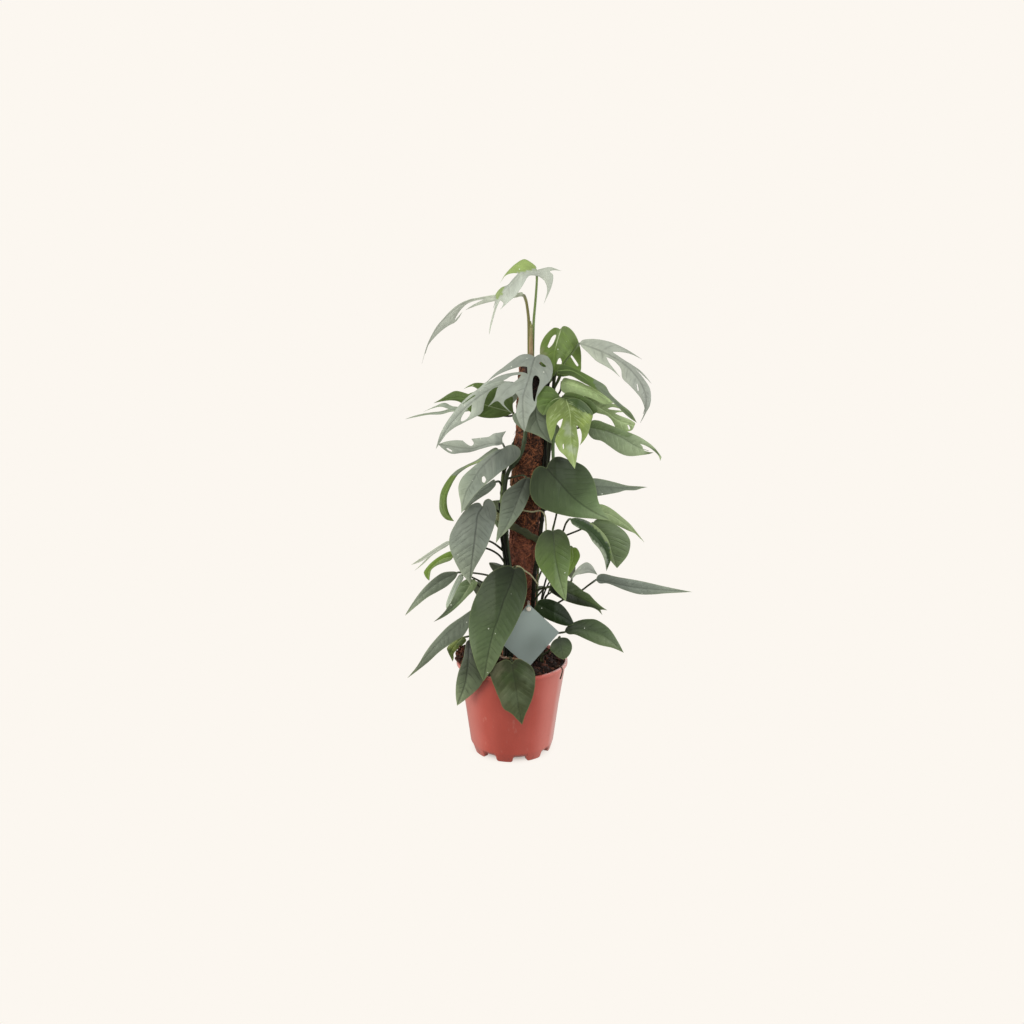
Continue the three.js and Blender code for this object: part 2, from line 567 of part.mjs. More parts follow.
leaf('leaf_right_grey_long', GREY_GREEN, {
  mid: [[93, 411, -38], [112, 406.5, -42], [132, 398, -46], [150, 387.5, -48], [171, 380, -48]],
  a: [[96, 418.5], [104, 418.8], [112, 415.8], [130, 408.8], [150, 400.8], [160, 395.2], [170, 387.8],
    [177, 379.8], [180.8, 374.5, 1], [179.5, 370, 1], [176.5, 377], [168, 384.5], [160, 388.8],
    [154.5, 390.5, 1], [160, 385.8], [159, 382.8], [164, 381]],
  b: [[92, 403], [98, 396.5], [108, 394], [117, 388], [127, 381], [136, 376.8], [145, 375.6],
    [158, 377], [166, 378.3]],
  stalk: [[92, 411, -37], [80, 410, -28], [62, 402, -18]], vine: 'right', at: 390,
})
// Left side
leaf('leaf_left_silver_long', SILVER, {
  mid: [[-8, 464, -18], [-25, 456.5, -19], [-40, 446.5, -21], [-53, 436.2, -23], [-65, 424, -26],
    [-78, 408, -29], [-92, 384, -31]],
  a: [[-14, 468.5], [-30, 465], [-40, 457], [-50, 449.8], [-60, 440.5], [-70, 428.5], [-80, 414.5],
    [-87, 401]],
  b: [[-10, 460], [-20, 458.3], [-27, 453], [-31, 446], [-33.5, 438], [-34.5, 431, 1], [-38, 426.5],
    [-45, 422.5], [-52, 419], [-60, 415], [-70, 409.6], [-80, 401]],
  holesA: [[[-61, 437], [-55, 442], [-46, 448.7], [-44, 448.3], [-50, 444.3]]],
  holesB: [[[-48, 437.8], [-53.5, 433], [-58, 427], [-61, 421.5], [-61, 417.8], [-56, 419.3],
    [-51.5, 424], [-49, 430]]],
  lean: [0.1, 0.1],
  stalk: [[-7.5, 464, -18], [3, 461.5, -25]], vine: 'front', at: 456,
})
leaf('leaf_left_dark_split', DARK, {
  mid: [[2, 428, 2], [-20, 434, 2], [-40, 440, 4], [-65, 446, 6], [-94, 439.5, 8]],
  a: [[-3, 437], [-15, 452], [-30, 462.5], [-42, 463.8], [-50, 461.3], [-57.5, 456.5, 1], [-48, 459.5],
    [-40, 455.7, 1], [-52, 450.5, 1], [-66, 454.2], [-75, 451], [-85, 444.6]],
  b: [[-8, 424], [-20, 421.8], [-35, 422.4], [-48, 427.5], [-61, 440], [-72, 442.8], [-84, 441.6]],
  stalk: [[2, 427.5, 1], [1.5, 425, 7], [4, 421, 14]], vine: 'left', at: 415,
})
leaf('leaf_left_thin_forked', GREY_GREEN, {
  mid: [[-44, 432, 18], [-66, 431.8, 18], [-85, 428.3, 18], [-105, 426.9, 18], [-128, 420.5, 18]],
  a: [[-52, 434.5], [-70, 435.8], [-81, 440], [-92, 436], [-107, 428.8, 1], [-95, 433.3], [-85, 435.3],
    [-76, 432.6, 1], [-85, 430], [-100, 428.1], [-115, 425]],
  b: [[-55, 429.5], [-72, 429.4], [-85, 426.2], [-100, 425.7], [-115, 423]],
  stalk: [[-43, 431.5, 18], [-30, 428, 22], [-6, 424, 30], [8, 424, 30]], vine: 'back', at: 404,
})
leaf('leaf_left_silver_flat', SILVER, {
  mid: [[-11, 391, -22], [-28, 390, -26], [-48, 384.6, -32], [-68, 386.2, -36], [-89, 390, -38]],
  a: [[-11.5, 398], [-7, 406, 1], [-15, 404.2], [-22, 403], [-28, 399.3], [-40, 397.7], [-49, 396.6, 1],
    [-46, 391.5], [-49, 388], [-54, 390], [-59.5, 394.6, 1], [-68, 395], [-79, 393.6]],
  b: [[-16, 388.8], [-24, 388], [-38, 384.2], [-50, 380.6], [-61, 379.5], [-73, 378.5], [-82, 383.5]],
  holesB: [[[-79.5, 385.8], [-77, 385.2], [-72, 382], [-74, 381.2], [-78, 383.5]]],
  stalk: [[-11, 390.5, -22], [-9, 386, -20]], vine: 'left', at: 368,
})
leaf('leaf_left_curving', MID, {
  mid: [[-15, 382.5, -15], [-35, 371.5, -17], [-52, 364, -19], [-66, 356, -22], [-76, 342, -25],
    [-83, 325, -27], [-83.5, 310, -27], [-78, 299.5, -26], [-71, 295, -25]],
  a: [[-20, 386], [-30, 380.3], [-42, 371.3], [-55, 364.8], [-68, 357.6], [-78, 347], [-86, 333],
    [-88.5, 320], [-88, 307], [-81, 297.5]],
  b: [[-22, 377.5], [-38, 368.5], [-52, 362.8], [-64, 354.5], [-70, 346.5], [-75, 337], [-79, 326],
    [-79.3, 315], [-77, 305]],
  lean: [0.9, 0.9],
  stalk: [[-14, 382, -15], [-11.5, 378, -15]], vine: 'left', at: 363,
})
leaf('leaf_left_grey_ovate', GREY_GREEN, {
  mid: [[-12, 384, -32], [-22, 376, -38], [-37, 361, -45], [-47, 346, -51], [-56, 330, -55],
    [-62, 305, -57]],
  a: [[-20, 383], [-34, 373], [-50, 359.8], [-60, 350], [-64.8, 340], [-64.8, 330], [-62.5, 317]],
  b: [[-7, 388], [1, 389.5], [8, 386], [10.5, 380], [8, 373.5], [0, 366], [-12, 357.5], [-24, 347.5],
    [-38, 335.5], [-50, 322], [-57, 312]],
  holesB: [[[-36.5, 349.5], [-34, 351], [-31.6, 347], [-33.5, 343], [-36.2, 344.5]]],
  stalk: [[-12, 383, -31], [-12, 379, -28]], vine: 'left', at: 354,
})
leaf('leaf_left_dark_strip', DARK, {
  mid: [[-20, 344, -26], [-30, 338, -28], [-40, 332, -30], [-50, 323.5, -32], [-60, 309, -34]],
  a: [[-22, 347], [-29, 342.5], [-40, 335.5], [-50, 328], [-57, 318]],
  b: [[-22, 341], [-30, 333], [-40, 327], [-50, 319.8], [-57, 312]],
  lean: [0.6, 0.6],
  stalk: [[-19.5, 344, -26], [-18, 342, -24]], vine: 'left', at: 330,
})
leaf('leaf_left_grey_large', GREY_GREEN, {
  mid: [[-36, 313, -44], [-42, 303, -48], [-44, 288, -52], [-47, 262, -57], [-50, 240, -60],
    [-52, 215, -60]],
  a: [[-40, 318], [-48, 316.5], [-58, 308], [-68, 294], [-76, 278], [-77, 264], [-73, 250], [-64, 231],
    [-57, 222]],
  b: [[-34, 320], [-28, 323], [-21.5, 317], [-18.8, 305], [-21, 292], [-25.5, 278], [-32, 261],
    [-40, 246], [-47.5, 232]],
  stalk: [[-35.5, 313, -43], [-30, 313, -36], [-22, 311, -25]], vine: 'left', at: 309,
})
leaf('leaf_left_lime_curl', LIME, {
  mid: [[-72, 249, -38], [-88, 245, -40], [-99, 238.5, -42], [-105.5, 230, -42], [-102, 219.5, -42]],
  a: [[-80, 252.3], [-90, 249.5], [-100, 243.5], [-107.5, 235.5], [-109, 229], [-105.5, 223]],
  b: [[-78, 245], [-88, 241], [-97.5, 236], [-101.5, 231], [-101, 225]],
  stalk: [[-71, 249, -38], [-52, 262, -36], [-31, 260.5, -30], [-17, 253, -25]], vine: 'left', at: 246,
})
leaf('leaf_left_thin_fingers', GREY_GREEN, {
  mid: [[-74, 269, -32], [-88, 261.5, -34], [-100, 253.5, -34], [-112, 245.9, -34], [-125, 239.5, -34]],
  a: [[-80, 270], [-90, 264], [-102, 256], [-114, 247.6]],
  b: [[-80, 263.5], [-90, 257.5], [-99, 251.3], [-105, 245.3], [-112, 239], [-121, 232, 1], [-111, 242],
    [-104.5, 249, 1], [-113, 243.8]],
  stalk: [[-73, 269, -32], [-50, 273, -34], [-27, 269.5, -28]], vine: 'left', at: 262,
})
leaf('leaf_lower_left_upper', GREY_GREEN, {
  mid: [[-67, 230, -22], [-85, 221.5, -24], [-103, 208.5, -28], [-120, 192.5, -30], [-134, 174, -30]],
  a: [[-73, 231.3], [-85, 230], [-95, 224], [-107, 213], [-118, 199.5], [-128, 184.5]],
  b: [[-70, 223], [-80, 213], [-92, 205.5], [-105, 198], [-118, 187.5], [-128, 179]],
  stalk: [[-66, 230, -22], [-50, 229.5, -22], [-30, 226.3, -22]], vine: 'left', at: 224,
})
leaf('leaf_lower_left_strip', GREY_GREEN, {
  mid: [[-63, 227, -33], [-69.5, 213.5, -35], [-75.5, 199.5, -36], [-81, 180, -36]],
  a: [[-66, 226.5], [-72.8, 214], [-79, 199.5], [-82.3, 188]],
  b: [[-60, 223], [-66, 212], [-72.3, 199], [-78, 189]],
  stalk: [[-62.5, 227, -33], [-55, 226, -30], [-40, 219, -28], [-22, 210, -26]], vine: 'left', at: 205,
})
leaf('leaf_lower_left_drip_tip', MID, {
  mid: [[-48, 221, -42], [-56, 206.5, -44], [-66, 192.5, -46], [-78, 181, -48], [-98, 166, -48]],
  a: [[-56, 221.5], [-64, 216], [-70, 205], [-75, 194], [-82.5, 181.8], [-90, 173.3]],
  b: [[-43, 217], [-47, 208], [-55, 199.5], [-62, 192], [-68.5, 185.5], [-77, 178], [-87, 171.3]],
  stalk: [[-47.5, 220.5, -41], [-42, 213, -36], [-30, 202, -30]], vine: 'left', at: 192,
})
leaf('leaf_lower_left_long', GREY_GREEN, {
  mid: [[-46, 184, -34], [-65, 165.5, -36], [-85, 146.5, -40], [-108, 120, -44], [-133, 91, -44]],
  a: [[-51, 181.5], [-62, 173.5], [-80, 160.3], [-97, 142], [-108, 127.5], [-120, 107.5]],
  b: [[-48, 172], [-60, 149], [-70, 142], [-80, 135], [-92, 126], [-105, 113.5], [-120, 101]],
  stalk: [[-45, 184, -33], [-36, 182, -28], [-22, 178, -24]], vine: 'left', at: 175,
})
leaf('leaf_old_over_rim', LIME, {
  mid: [[-58, 145, -10], [-70, 141.5, -8], [-80, 133.5, -8], [-81.5, 124, -8], [-75, 113, -8]],
  a: [[-64, 148.5], [-75, 144.3], [-84, 136], [-85.5, 125], [-79.5, 115.5]],
  b: [[-62, 140.5], [-71, 136.8], [-76.5, 131.5], [-77.5, 123.5]],
  stalk: [[-57, 145, -10], [-42, 148, -14], [-22, 148, -20]], vine: 'left', at: 146,
})
// Middle
leaf('leaf_middle_grey_green', GREY_GREEN, {
  mid: [[18, 349, -36], [10, 330, -39], [3, 312, -44], [-5, 293, -49], [-20, 267, -53]],
  a: [[12, 347.5], [3, 341], [-6, 334.5], [-12, 326], [-14.5, 312], [-16, 297], [-18.5, 280]],
  b: [[22, 349], [23.5, 340], [20.5, 325], [14, 310], [4, 295.5], [-6, 283], [-14, 275]],
  stalk: [[18, 348.5, -36], [14, 352, -32]], vine: 'front', at: 352,
})
leaf('leaf_middle_dark_large', DARK, {
  mid: [[42, 361, -42], [55, 346, -50], [68, 331.5, -56], [82, 318.5, -60], [100, 306.5, -62],
    [121, 296, -62]],
  a: [[44, 366.5], [50, 373.5], [58, 375], [68, 371.5], [80, 367.5], [90, 361], [98, 349], [102.5, 335],
    [105.5, 320], [112, 307]],
  b: [[34, 363.5], [27, 358.5], [23, 348], [21.5, 335], [24, 324.5], [30, 316], [38, 310.5], [50, 306],
    [62, 302.7], [76, 300], [90, 298.8], [106, 297.5]],
  stalk: [[42, 361, -41], [42, 357, -34]], vine: 'right', at: 340,
})
leaf('leaf_right_grey_blade', GREY_GREEN, {
  mid: [[88, 338, -34], [104, 338, -38], [120, 337.2, -40], [140, 336.8, -40], [165, 337.5, -40]],
  a: [[92, 347], [100, 348.5], [112, 346.7], [125, 343.5], [140, 339.6], [155, 338.5]],
  b: [[93, 328], [104, 326.6], [112, 327.6], [120, 329], [130, 331], [138, 333.4], [150, 333.6],
    [158, 336]],
  stalk: [[87, 338, -33], [72, 340, -28], [56, 338, -20]], vine: 'right', at: 328,
})
leaf('leaf_right_light_tip', MID, {
  mid: [[100, 306, -48], [118, 303.5, -50], [136, 293, -52], [150, 281.5, -54], [163, 268.5, -54]],
  a: [[104, 314.5], [108, 316.3], [115, 314.3], [124, 309], [135, 300], [145, 291.3], [153, 281.5]],
  b: [[104, 299], [112, 296], [122, 293.5], [134, 287.3], [143, 283], [151, 279.5], [157, 274]],
  stalk: [[99, 306, -47], [84, 310, -38], [64, 312, -26]], vine: 'right', at: 312,
})
leaf('leaf_right_green', MID, {
  mid: [[99, 293, -58], [109, 283.5, -62], [117, 271, -66], [123, 257, -68], [130, 235.5, -68]],
  a: [[104, 297.5], [112, 296.5], [122, 294], [134, 286], [141, 279], [145.5, 270], [145, 259],
    [141, 249]],
  b: [[97, 286], [102, 276], [109, 264], [117, 252], [123.5, 243]],
  stalk: [[98.5, 292.5, -57], [85, 285, -46], [66, 277, -32]], vine: 'right', at: 266,
})
leaf('leaf_right_dark_narrow', DARK, {
  mid: [[71, 298, -64], [84, 290.5, -68], [98, 280.5, -73], [110, 267, -77], [117.5, 251, -79],
    [117, 232, -79]],
  a: [[79, 299.3], [90, 296.5], [103, 289], [114, 278], [121, 264], [122.5, 248]],
  b: [[74, 291.5], [83, 285.5], [92, 281], [99, 269.5], [108, 259], [114, 246.5]],
  stalk: [[70.5, 298, -63], [66, 292, -54], [62, 281, -44], [50, 264, -31]], vine: 'right', at: 250,
})
leaf('leaf_middle_right_green', MID, {
  mid: [[50, 283, -54], [51.5, 270, -60], [53, 252, -66], [57, 230, -70], [62, 210, -72], [67, 193, -72]],
  a: [[42, 284], [34.5, 277], [29, 263], [29, 248], [34, 236], [43, 222.5], [54, 207]],
  b: [[58, 285], [66, 279.5], [71, 268], [72.3, 252], [71, 238], [69, 222], [68.3, 206]],
  stalk: [[50, 284, -53], [53, 294, -44], [54, 303, -32]], vine: 'right', at: 302,
})
leaf('leaf_middle_right_behind', DARK, {
  mid: [[74, 262, -52], [75, 248, -54], [71, 235, -56], [66, 221, -56]],
  a: [[68, 258], [65.5, 245], [65, 232]],
  b: [[80, 261], [84, 252], [81, 243], [74, 231]],
  lean: [0.05, 0.05],
  stalk: [[74, 262.5, -51], [66, 262, -42], [50, 254, -28]], vine: 'right', at: 240,
})
// Lower right
leaf('leaf_lower_right_small_pale', GREY_GREEN, {
  mid: [[74.5, 223.5, -50], [84, 231.5, -52], [95, 233.5, -54], [106, 227, -54]],
  a: [[77.5, 230.5], [84, 238.5], [92, 243], [98.5, 239.5], [103, 232.5]],
  b: [[79, 226.5], [86, 228], [95, 229.6], [101, 228.6]],
  stalk: [[74.3, 222.5, -50], [73, 218, -46], [62, 213, -38], [48, 212, -28]], vine: 'right', at: 211,
})
leaf('leaf_lower_right_long', GREY_GREEN, {
  mid: [[104, 220.5, -48], [125, 216.5, -52], [150, 211, -56], [185, 207.5, -60], [224, 205, -62]],
  a: [[107, 226.5], [114, 228.3], [130, 224.5], [160, 219], [190, 212], [210, 207.7]],
  b: [[109, 216], [120, 215.5], [140, 207.3], [158, 202], [175, 201.7], [190, 203], [208, 204]],
  stalk: [[103.5, 220, -47], [95, 213.5, -46], [86, 206.5, -42], [66, 196, -34]], vine: 'right', at: 176,
})
leaf('leaf_lower_right_twin_tip', DARK, {
  mid: [[48, 207, -54], [62, 206, -58], [80, 199, -62], [98, 190, -65], [108, 184.8, -66],
    [119, 181, -66]],
  a: [[52, 215], [62, 219.8], [72, 219], [80, 213.5], [88, 206.7], [96, 202], [103, 194.3], [111, 186.8]],
  b: [[46, 201], [56, 195.5], [67, 193], [80, 188.7], [92, 186], [100, 184.5], [107, 181],
    [113, 175, 1], [110.5, 181.5, 1], [114, 181.8]],
  stalk: [[47.5, 207, -53], [43, 207, -44], [38, 206, -32]], vine: 'right', at: 198,
})
leaf('leaf_lower_right_dark', DARK, {
  mid: [[31, 190, -30], [42, 184.5, -33], [55, 177.5, -36], [67, 170.5, -38], [78, 163, -38]],
  a: [[34, 194.5], [45, 195.8], [55, 192.5], [63, 187.5], [70, 179], [75, 170]],
  b: [[28, 184], [32, 178], [40, 171.5], [50, 166.5], [62, 162], [71, 160.5]],
  stalk: [[31, 189.5, -29], [32, 184, -24]], vine: 'right', at: 163,
})
leaf('leaf_lower_right_green', MID, {
  mid: [[66, 152.5, -30], [82, 156.5, -38], [100, 154, -45], [120, 144, -50], [141, 125, -52]],
  a: [[68, 158.5], [75, 164], [85, 168.2], [96, 169.7], [107, 168], [122, 157], [133, 140.5]],
  b: [[72, 149.5], [80, 149], [95, 142], [110, 135.5], [125, 132], [134, 128.5]],
  stalk: [[65.5, 152.3, -30], [60, 151.5, -26], [44, 148, -20]], vine: 'right', at: 146,
})
leaf('leaf_lower_right_small', MID, {
  mid: [[60, 138, -62], [62, 130.5, -65], [64, 124, -67], [66, 116, -67]],
  a: [[55, 140], [49.5, 136.5], [48, 129.5], [54, 122.5], [61, 117.5]],
  b: [[65, 142.5], [70.5, 142], [75.5, 136.5], [76, 130], [72.5, 123], [68.5, 118.5]],
  stalk: [[60, 138.5, -61], [60, 141, -54], [52, 134, -42], [42, 124, -28]], vine: 'right', at: 122,
})
// Lower front
leaf('leaf_front_largest', DARK, {
  mid: [[3, 235, -50], [-2, 215, -60], [-10, 195, -68], [-17, 172, -75], [-24, 150, -80],
    [-30, 125, -84], [-36, 87, -84]],
  a: [[-5, 239], [-20, 234], [-32, 224], [-41, 208], [-49, 190], [-53.5, 170], [-54, 148], [-50, 126],
    [-44, 105]],
  b: [[9, 237], [14.5, 233], [17.8, 222], [18.5, 205], [14, 185], [8, 170], [0, 153], [-9, 137],
    [-15, 122], [-25, 103], [-31, 95]],
  stalk: [[3, 236, -49], [4, 238, -42], [2, 235, -32]], vine: 'front', at: 224,
})
leaf('leaf_front_left_veined', MID, {
  mid: [[-53, 143, -60], [-54, 125, -66], [-56, 105, -71], [-60, 82, -76], [-70, 54, -78]],
  a: [[-58, 138], [-61, 120], [-65, 108], [-68.5, 97], [-71, 83], [-71.5, 68]],
  b: [[-48, 138], [-42, 118], [-37, 100], [-36, 90], [-41, 80], [-50, 70.5], [-61, 61]],
  stalk: [[-53, 143.5, -60], [-50, 150, -52], [-38, 156, -38], [-20, 156, -28]], vine: 'left', at: 154,
})
leaf('leaf_front_over_rim', DARK, {
  mid: [[0, 111, -80], [3, 92, -84], [6, 70, -86], [9, 48, -87], [13, 28, -87]],
  a: [[-3, 115], [-9, 116], [-18, 111], [-26, 101], [-27, 90], [-21, 76], [-16, 62], [-11, 48],
    [-2, 40.5], [6, 34]],
  b: [[3, 115], [9, 117], [18, 111], [26, 101], [30, 88], [30, 78], [28, 66], [25, 56], [19, 43],
    [16, 35]],
  stalk: [[0, 111.5, -79], [-1, 117, -68], [-4, 119, -54], [-2, 119, -38]], vine: 'front', at: 124,
})
// Back shoots: stems behind the pole with drooping ovate leaves fused where they grow.
// height: place on the stem; turn: direction seen from above, 0 to the front, 90 to the right;
// droop: how far the blade bends over, in radians
const BACK_LEAVES = {
  back: [
    { height: 286, turn: 196, stalk: 42, length: 96, width: 54, droop: 1.25 },
    { height: 318, turn: 152, stalk: 30, length: 84, width: 47, droop: 0.9 },
    { height: 352, turn: 214, stalk: 26, length: 78, width: 44, droop: 1.1 },
    { height: 384, turn: 170, stalk: 40, length: 100, width: 56, droop: 1.35 },
    { height: 414, turn: 132, stalk: 26, length: 74, width: 42, droop: 0.95 },
    { height: 440, turn: 202, stalk: 30, length: 86, width: 48, droop: 1.15 },
    { height: 458, turn: 166, stalk: 24, length: 66, width: 38, droop: 0.7 },
  ],
  backLeft: [
    { height: 146, turn: 212, stalk: 24, length: 66, width: 40, droop: 1.3 },
    { height: 178, turn: 196, stalk: 34, length: 86, width: 46, droop: 1.1 },
    { height: 206, turn: 182, stalk: 24, length: 62, width: 36, droop: 1.2 },
  ],
  backRight: [
    { height: 136, turn: 184, stalk: 30, length: 70, width: 38, droop: 1.35 },
    { height: 174, turn: 186, stalk: 26, length: 72, width: 36, droop: 1.15 },
    { height: 210, turn: 146, stalk: 28, length: 70, width: 40, droop: 1.0 },
    { height: 244, turn: 178, stalk: 32, length: 84, width: 44, droop: 1.3 },
  ],
}
const BACK_NAMES = { back: 'back_shoot_tall', backLeft: 'back_shoot_left', backRight: 'back_shoot_right' }
const FIRST_DIP = 0.1
const LIFT = 18
const STATIONS = 6

function backLeaf(root, { turn, stalk, length, width, droop }) {
  const angle = THREE.MathUtils.degToRad(turn - 90)
  const out = new THREE.Vector3(Math.cos(angle), Math.sin(angle), 0)
  const across = new THREE.Vector3(-out.y, out.x, 0)
  const foot = root.clone().addScaledVector(out, stalk)
  foot.z += LIFT
  const places = []
  const triangles = []
  const rows = []
  const middle = foot.clone()
  for (let i = 0; i <= STATIONS; i++) {
    const share = i / STATIONS
    const dip = FIRST_DIP + droop * share
    const half = 0.5 * width * Math.sin(Math.PI * share ** 0.7) ** 0.8
    const ends = i === 0 || i === STATIONS
    const start = places.length
    places.push(middle.clone())
    if (!ends) {
      for (const side of [-1, 1]) {
        const edge = middle.clone().addScaledVector(across, side * half)
        edge.z += 0.2 * half
        places.push(edge)
      }
    }
    rows.push(ends ? [start, start, start] : [start, start + 1, start + 2])
    middle.addScaledVector(out, length / STATIONS * Math.cos(dip))
    middle.z -= length / STATIONS * Math.sin(dip)
  }
  for (let i = 0; i < STATIONS; i++) {
    const [near, far] = [rows[i], rows[i + 1]]
    for (const side of [1, 2]) {
      for (const face of [[near[0], far[0], far[side]], [near[0], far[side], near[side]]]) {
        if (new Set(face).size < 3) continue
        triangles.push(side === 1 ? face.reverse() : face)
      }
    }
  }
  const path = [root, root.clone().lerp(foot, 0.5).setZ(root.z + 0.8 * LIFT), foot, places[1].clone()]
  path[3].lerp(foot, 0.3)
  return plate(places, triangles).add(tube(path, STALK_RADIUS, STALK_SIDES, 5))
}

for (const [name, leaves] of Object.entries(BACK_LEAVES)) {
  let grown = vineBody(name)
  for (const row of leaves) grown = grown.add(backLeaf(onVine(name, row.height), row))
  add(BACK_NAMES[name], grown, MID, 0.5)
}

export default part
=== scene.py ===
import math
import bpy
import numpy as np
from mathutils.geometry import delaunay_2d_cdt
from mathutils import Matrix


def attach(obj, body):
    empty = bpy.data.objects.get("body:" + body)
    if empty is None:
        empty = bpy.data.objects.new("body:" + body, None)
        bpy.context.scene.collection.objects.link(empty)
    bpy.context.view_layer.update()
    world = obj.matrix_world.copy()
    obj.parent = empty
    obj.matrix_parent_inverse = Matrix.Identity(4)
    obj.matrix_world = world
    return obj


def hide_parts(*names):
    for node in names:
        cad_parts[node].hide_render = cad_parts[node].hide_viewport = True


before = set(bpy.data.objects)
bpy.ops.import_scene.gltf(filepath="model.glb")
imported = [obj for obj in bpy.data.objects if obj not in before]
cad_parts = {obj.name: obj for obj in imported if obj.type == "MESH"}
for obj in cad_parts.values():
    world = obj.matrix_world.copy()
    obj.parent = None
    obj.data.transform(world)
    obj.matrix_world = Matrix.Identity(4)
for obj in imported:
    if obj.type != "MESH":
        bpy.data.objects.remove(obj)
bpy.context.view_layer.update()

# A climbing aroid on a coir pole in a red nursery pot. Lengths here are millimetres and turn into
# metres when a mesh is made. +Z is up, the plant faces -Y.
millimetre = 0.001


# Shader tools

# A number on its way through a shader. Python's own arithmetic on it adds Math nodes.
class Number:
    def __init__(self, shader, socket):
        self.shader, self.socket = shader, socket

    def maths(self, operation, *values):
        return self.shader.node("Math", {"operation": operation}, dict(enumerate(values)))

    def __add__(self, other): return self.maths("ADD", self, other)
    def __radd__(self, other): return self.maths("ADD", other, self)
    def __sub__(self, other): return self.maths("SUBTRACT", self, other)
    def __rsub__(self, other): return self.maths("SUBTRACT", other, self)
    def __mul__(self, other): return self.maths("MULTIPLY", self, other)
    def __rmul__(self, other): return self.maths("MULTIPLY", other, self)
    def __truediv__(self, other): return self.maths("DIVIDE", self, other)
    def __pow__(self, other): return self.maths("POWER", self, other)
    def __mod__(self, other): return self.maths("FLOORED_MODULO", self, other)
    def __abs__(self): return self.maths("ABSOLUTE", self)


# One material: a Principled shader and the nodes that lead to it
class Shader:
    def __init__(self, name, tree=None):
        if tree is None:
            self.material = bpy.data.materials.new(name)
            self.material.use_nodes = True
            tree = self.material.node_tree
        self.tree = tree
        self.tree.nodes.clear()

    # kind is a node's type less ShaderNode. Settings are set first, then the sockets get values or
    # links. Gives the output asked for.
    def node(self, kind, settings=None, sockets=None, out=0):
        made = self.tree.nodes.new("ShaderNode" + kind)
        for name, value in (settings or {}).items():
            setattr(made, name, value)
        for key, value in (sockets or {}).items():
            if isinstance(value, Number):
                self.tree.links.new(value.socket, made.inputs[key])
            else:
                made.inputs[key].default_value = value
        return Number(self, made.outputs[out]) if len(made.outputs) else made

    # The place on the object in millimetres
    def place(self):
        metres = self.node("TexCoord", out="Object")
        return self.node("VectorMath", {"operation": "SCALE"}, {0: metres, "Scale": 1000})

    def attribute(self, name, out="Color"):
        return self.node("Attribute", {"attribute_name": name}, out=out)

    def parts(self, vector):
        split = self.node("SeparateXYZ", None, {0: vector})
        return [Number(self, socket) for socket in split.socket.node.outputs]

    # Soft noise from 0 to 1 whose lumps are about size millimetres across
    def noise(self, place, size, detail, stretch=None):
        if stretch:
            place = self.node("VectorMath", {"operation": "MULTIPLY"}, {0: place, 1: stretch})
        return self.node("TexNoise", None, {"Vector": place, "Scale": 1 / size, "Detail": detail})

    # 0 below low, 1 above high, an S-shaped step between
    def step(self, value, low, high):
        return self.node("MapRange", {"interpolation_type": "SMOOTHSTEP"},
                         {"Value": value, "From Min": low, "From Max": high})

    # first where share is 0, second where it is 1
    def mix(self, share, first, second):
        return self.node("Mix", {"data_type": "RGBA"}, {0: share, 6: first, 7: second}, out=2)

    def scaled(self, colour, amount):
        return self.node("VectorMath", {"operation": "SCALE"}, {0: colour, "Scale": amount})

    # Joins it up. height, for the bumps, is in millimetres.
    def finish(self, colour, roughness, height, bump=1.0, **fixed):
        normal = self.node("Bump", None, {"Strength": bump, "Distance": millimetre, "Height": height})
        shaded = self.node("BsdfPrincipled", None,
                           {"Base Color": colour, "Roughness": roughness, "Normal": normal, **fixed})
        self.node("OutputMaterial", None, {"Surface": shaded})
        return self.material


# Linear colour of a paint written as #rrggbb
def paint(code, strength=1.0):
    parts = np.array([int(code[i:i + 2], 16) for i in (1, 3, 5)]) / 255
    linear = np.where(parts <= 0.04045, parts / 12.92, ((parts + 0.055) / 1.055) ** 2.4)
    return np.append(linear * strength, 1.0)


# Mesh tools

# Makes a shape into one mesh. A shape has points in millimetres, faces as arrays of triangles or
# quads, sharp edges where it needs them, and attributes: one number, vector or colour for each
# point. slots says which material each array of faces has.
def makePiece(name, shape, materials, slot, replaced=(), slots=None):
    mesh = bpy.data.meshes.new(name)
    points = shape["points"]
    faces = [np.asarray(face, np.int32) for face in shape["faces"]]
    corners = np.concatenate([face.ravel() for face in faces])
    counts = [len(face) for face in faces]
    sizes = np.repeat([face.shape[1] for face in faces], counts)
    mesh.vertices.add(len(points))
    mesh.vertices.foreach_set("co", (points * millimetre).astype(np.float32).ravel())
    mesh.loops.add(len(corners))
    mesh.loops.foreach_set("vertex_index", corners)
    mesh.polygons.add(len(sizes))
    mesh.polygons.foreach_set("loop_start", (np.cumsum(sizes) - sizes).astype(np.int32))
    if slots:
        mesh.polygons.foreach_set("material_index", np.repeat(slots, counts).astype(np.int32))
    mesh.update(calc_edges=True)
    kinds = {1: ("FLOAT", "value"), 3: ("FLOAT_VECTOR", "vector"), 4: ("FLOAT_COLOR", "color")}
    for key, values in shape.items():
        if key not in ("points", "faces", "sharp"):
            kind, field = kinds[values.size // len(points)]
            mesh.attributes.new(key, kind, "POINT").data.foreach_set(field, values.astype(np.float32).ravel())
    if "sharp" in shape:
        ends = np.empty(2 * len(mesh.edges), np.int32)
        mesh.edges.foreach_get("vertices", ends)
        code = lambda pairs: np.sort(pairs, 1) @ np.array([len(points), 1])
        marked = np.isin(code(ends.reshape(-1, 2).astype(np.int64)), code(shape["sharp"]))
        mesh.attributes.new("sharp_edge", "BOOLEAN", "EDGE").data.foreach_set("value", marked)
    for material in materials:
        mesh.materials.append(material)
    piece = bpy.data.objects.new(name, mesh)
    bpy.context.scene.collection.objects.link(piece)
    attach(piece, "root")
    if replaced:
        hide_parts(*replaced)


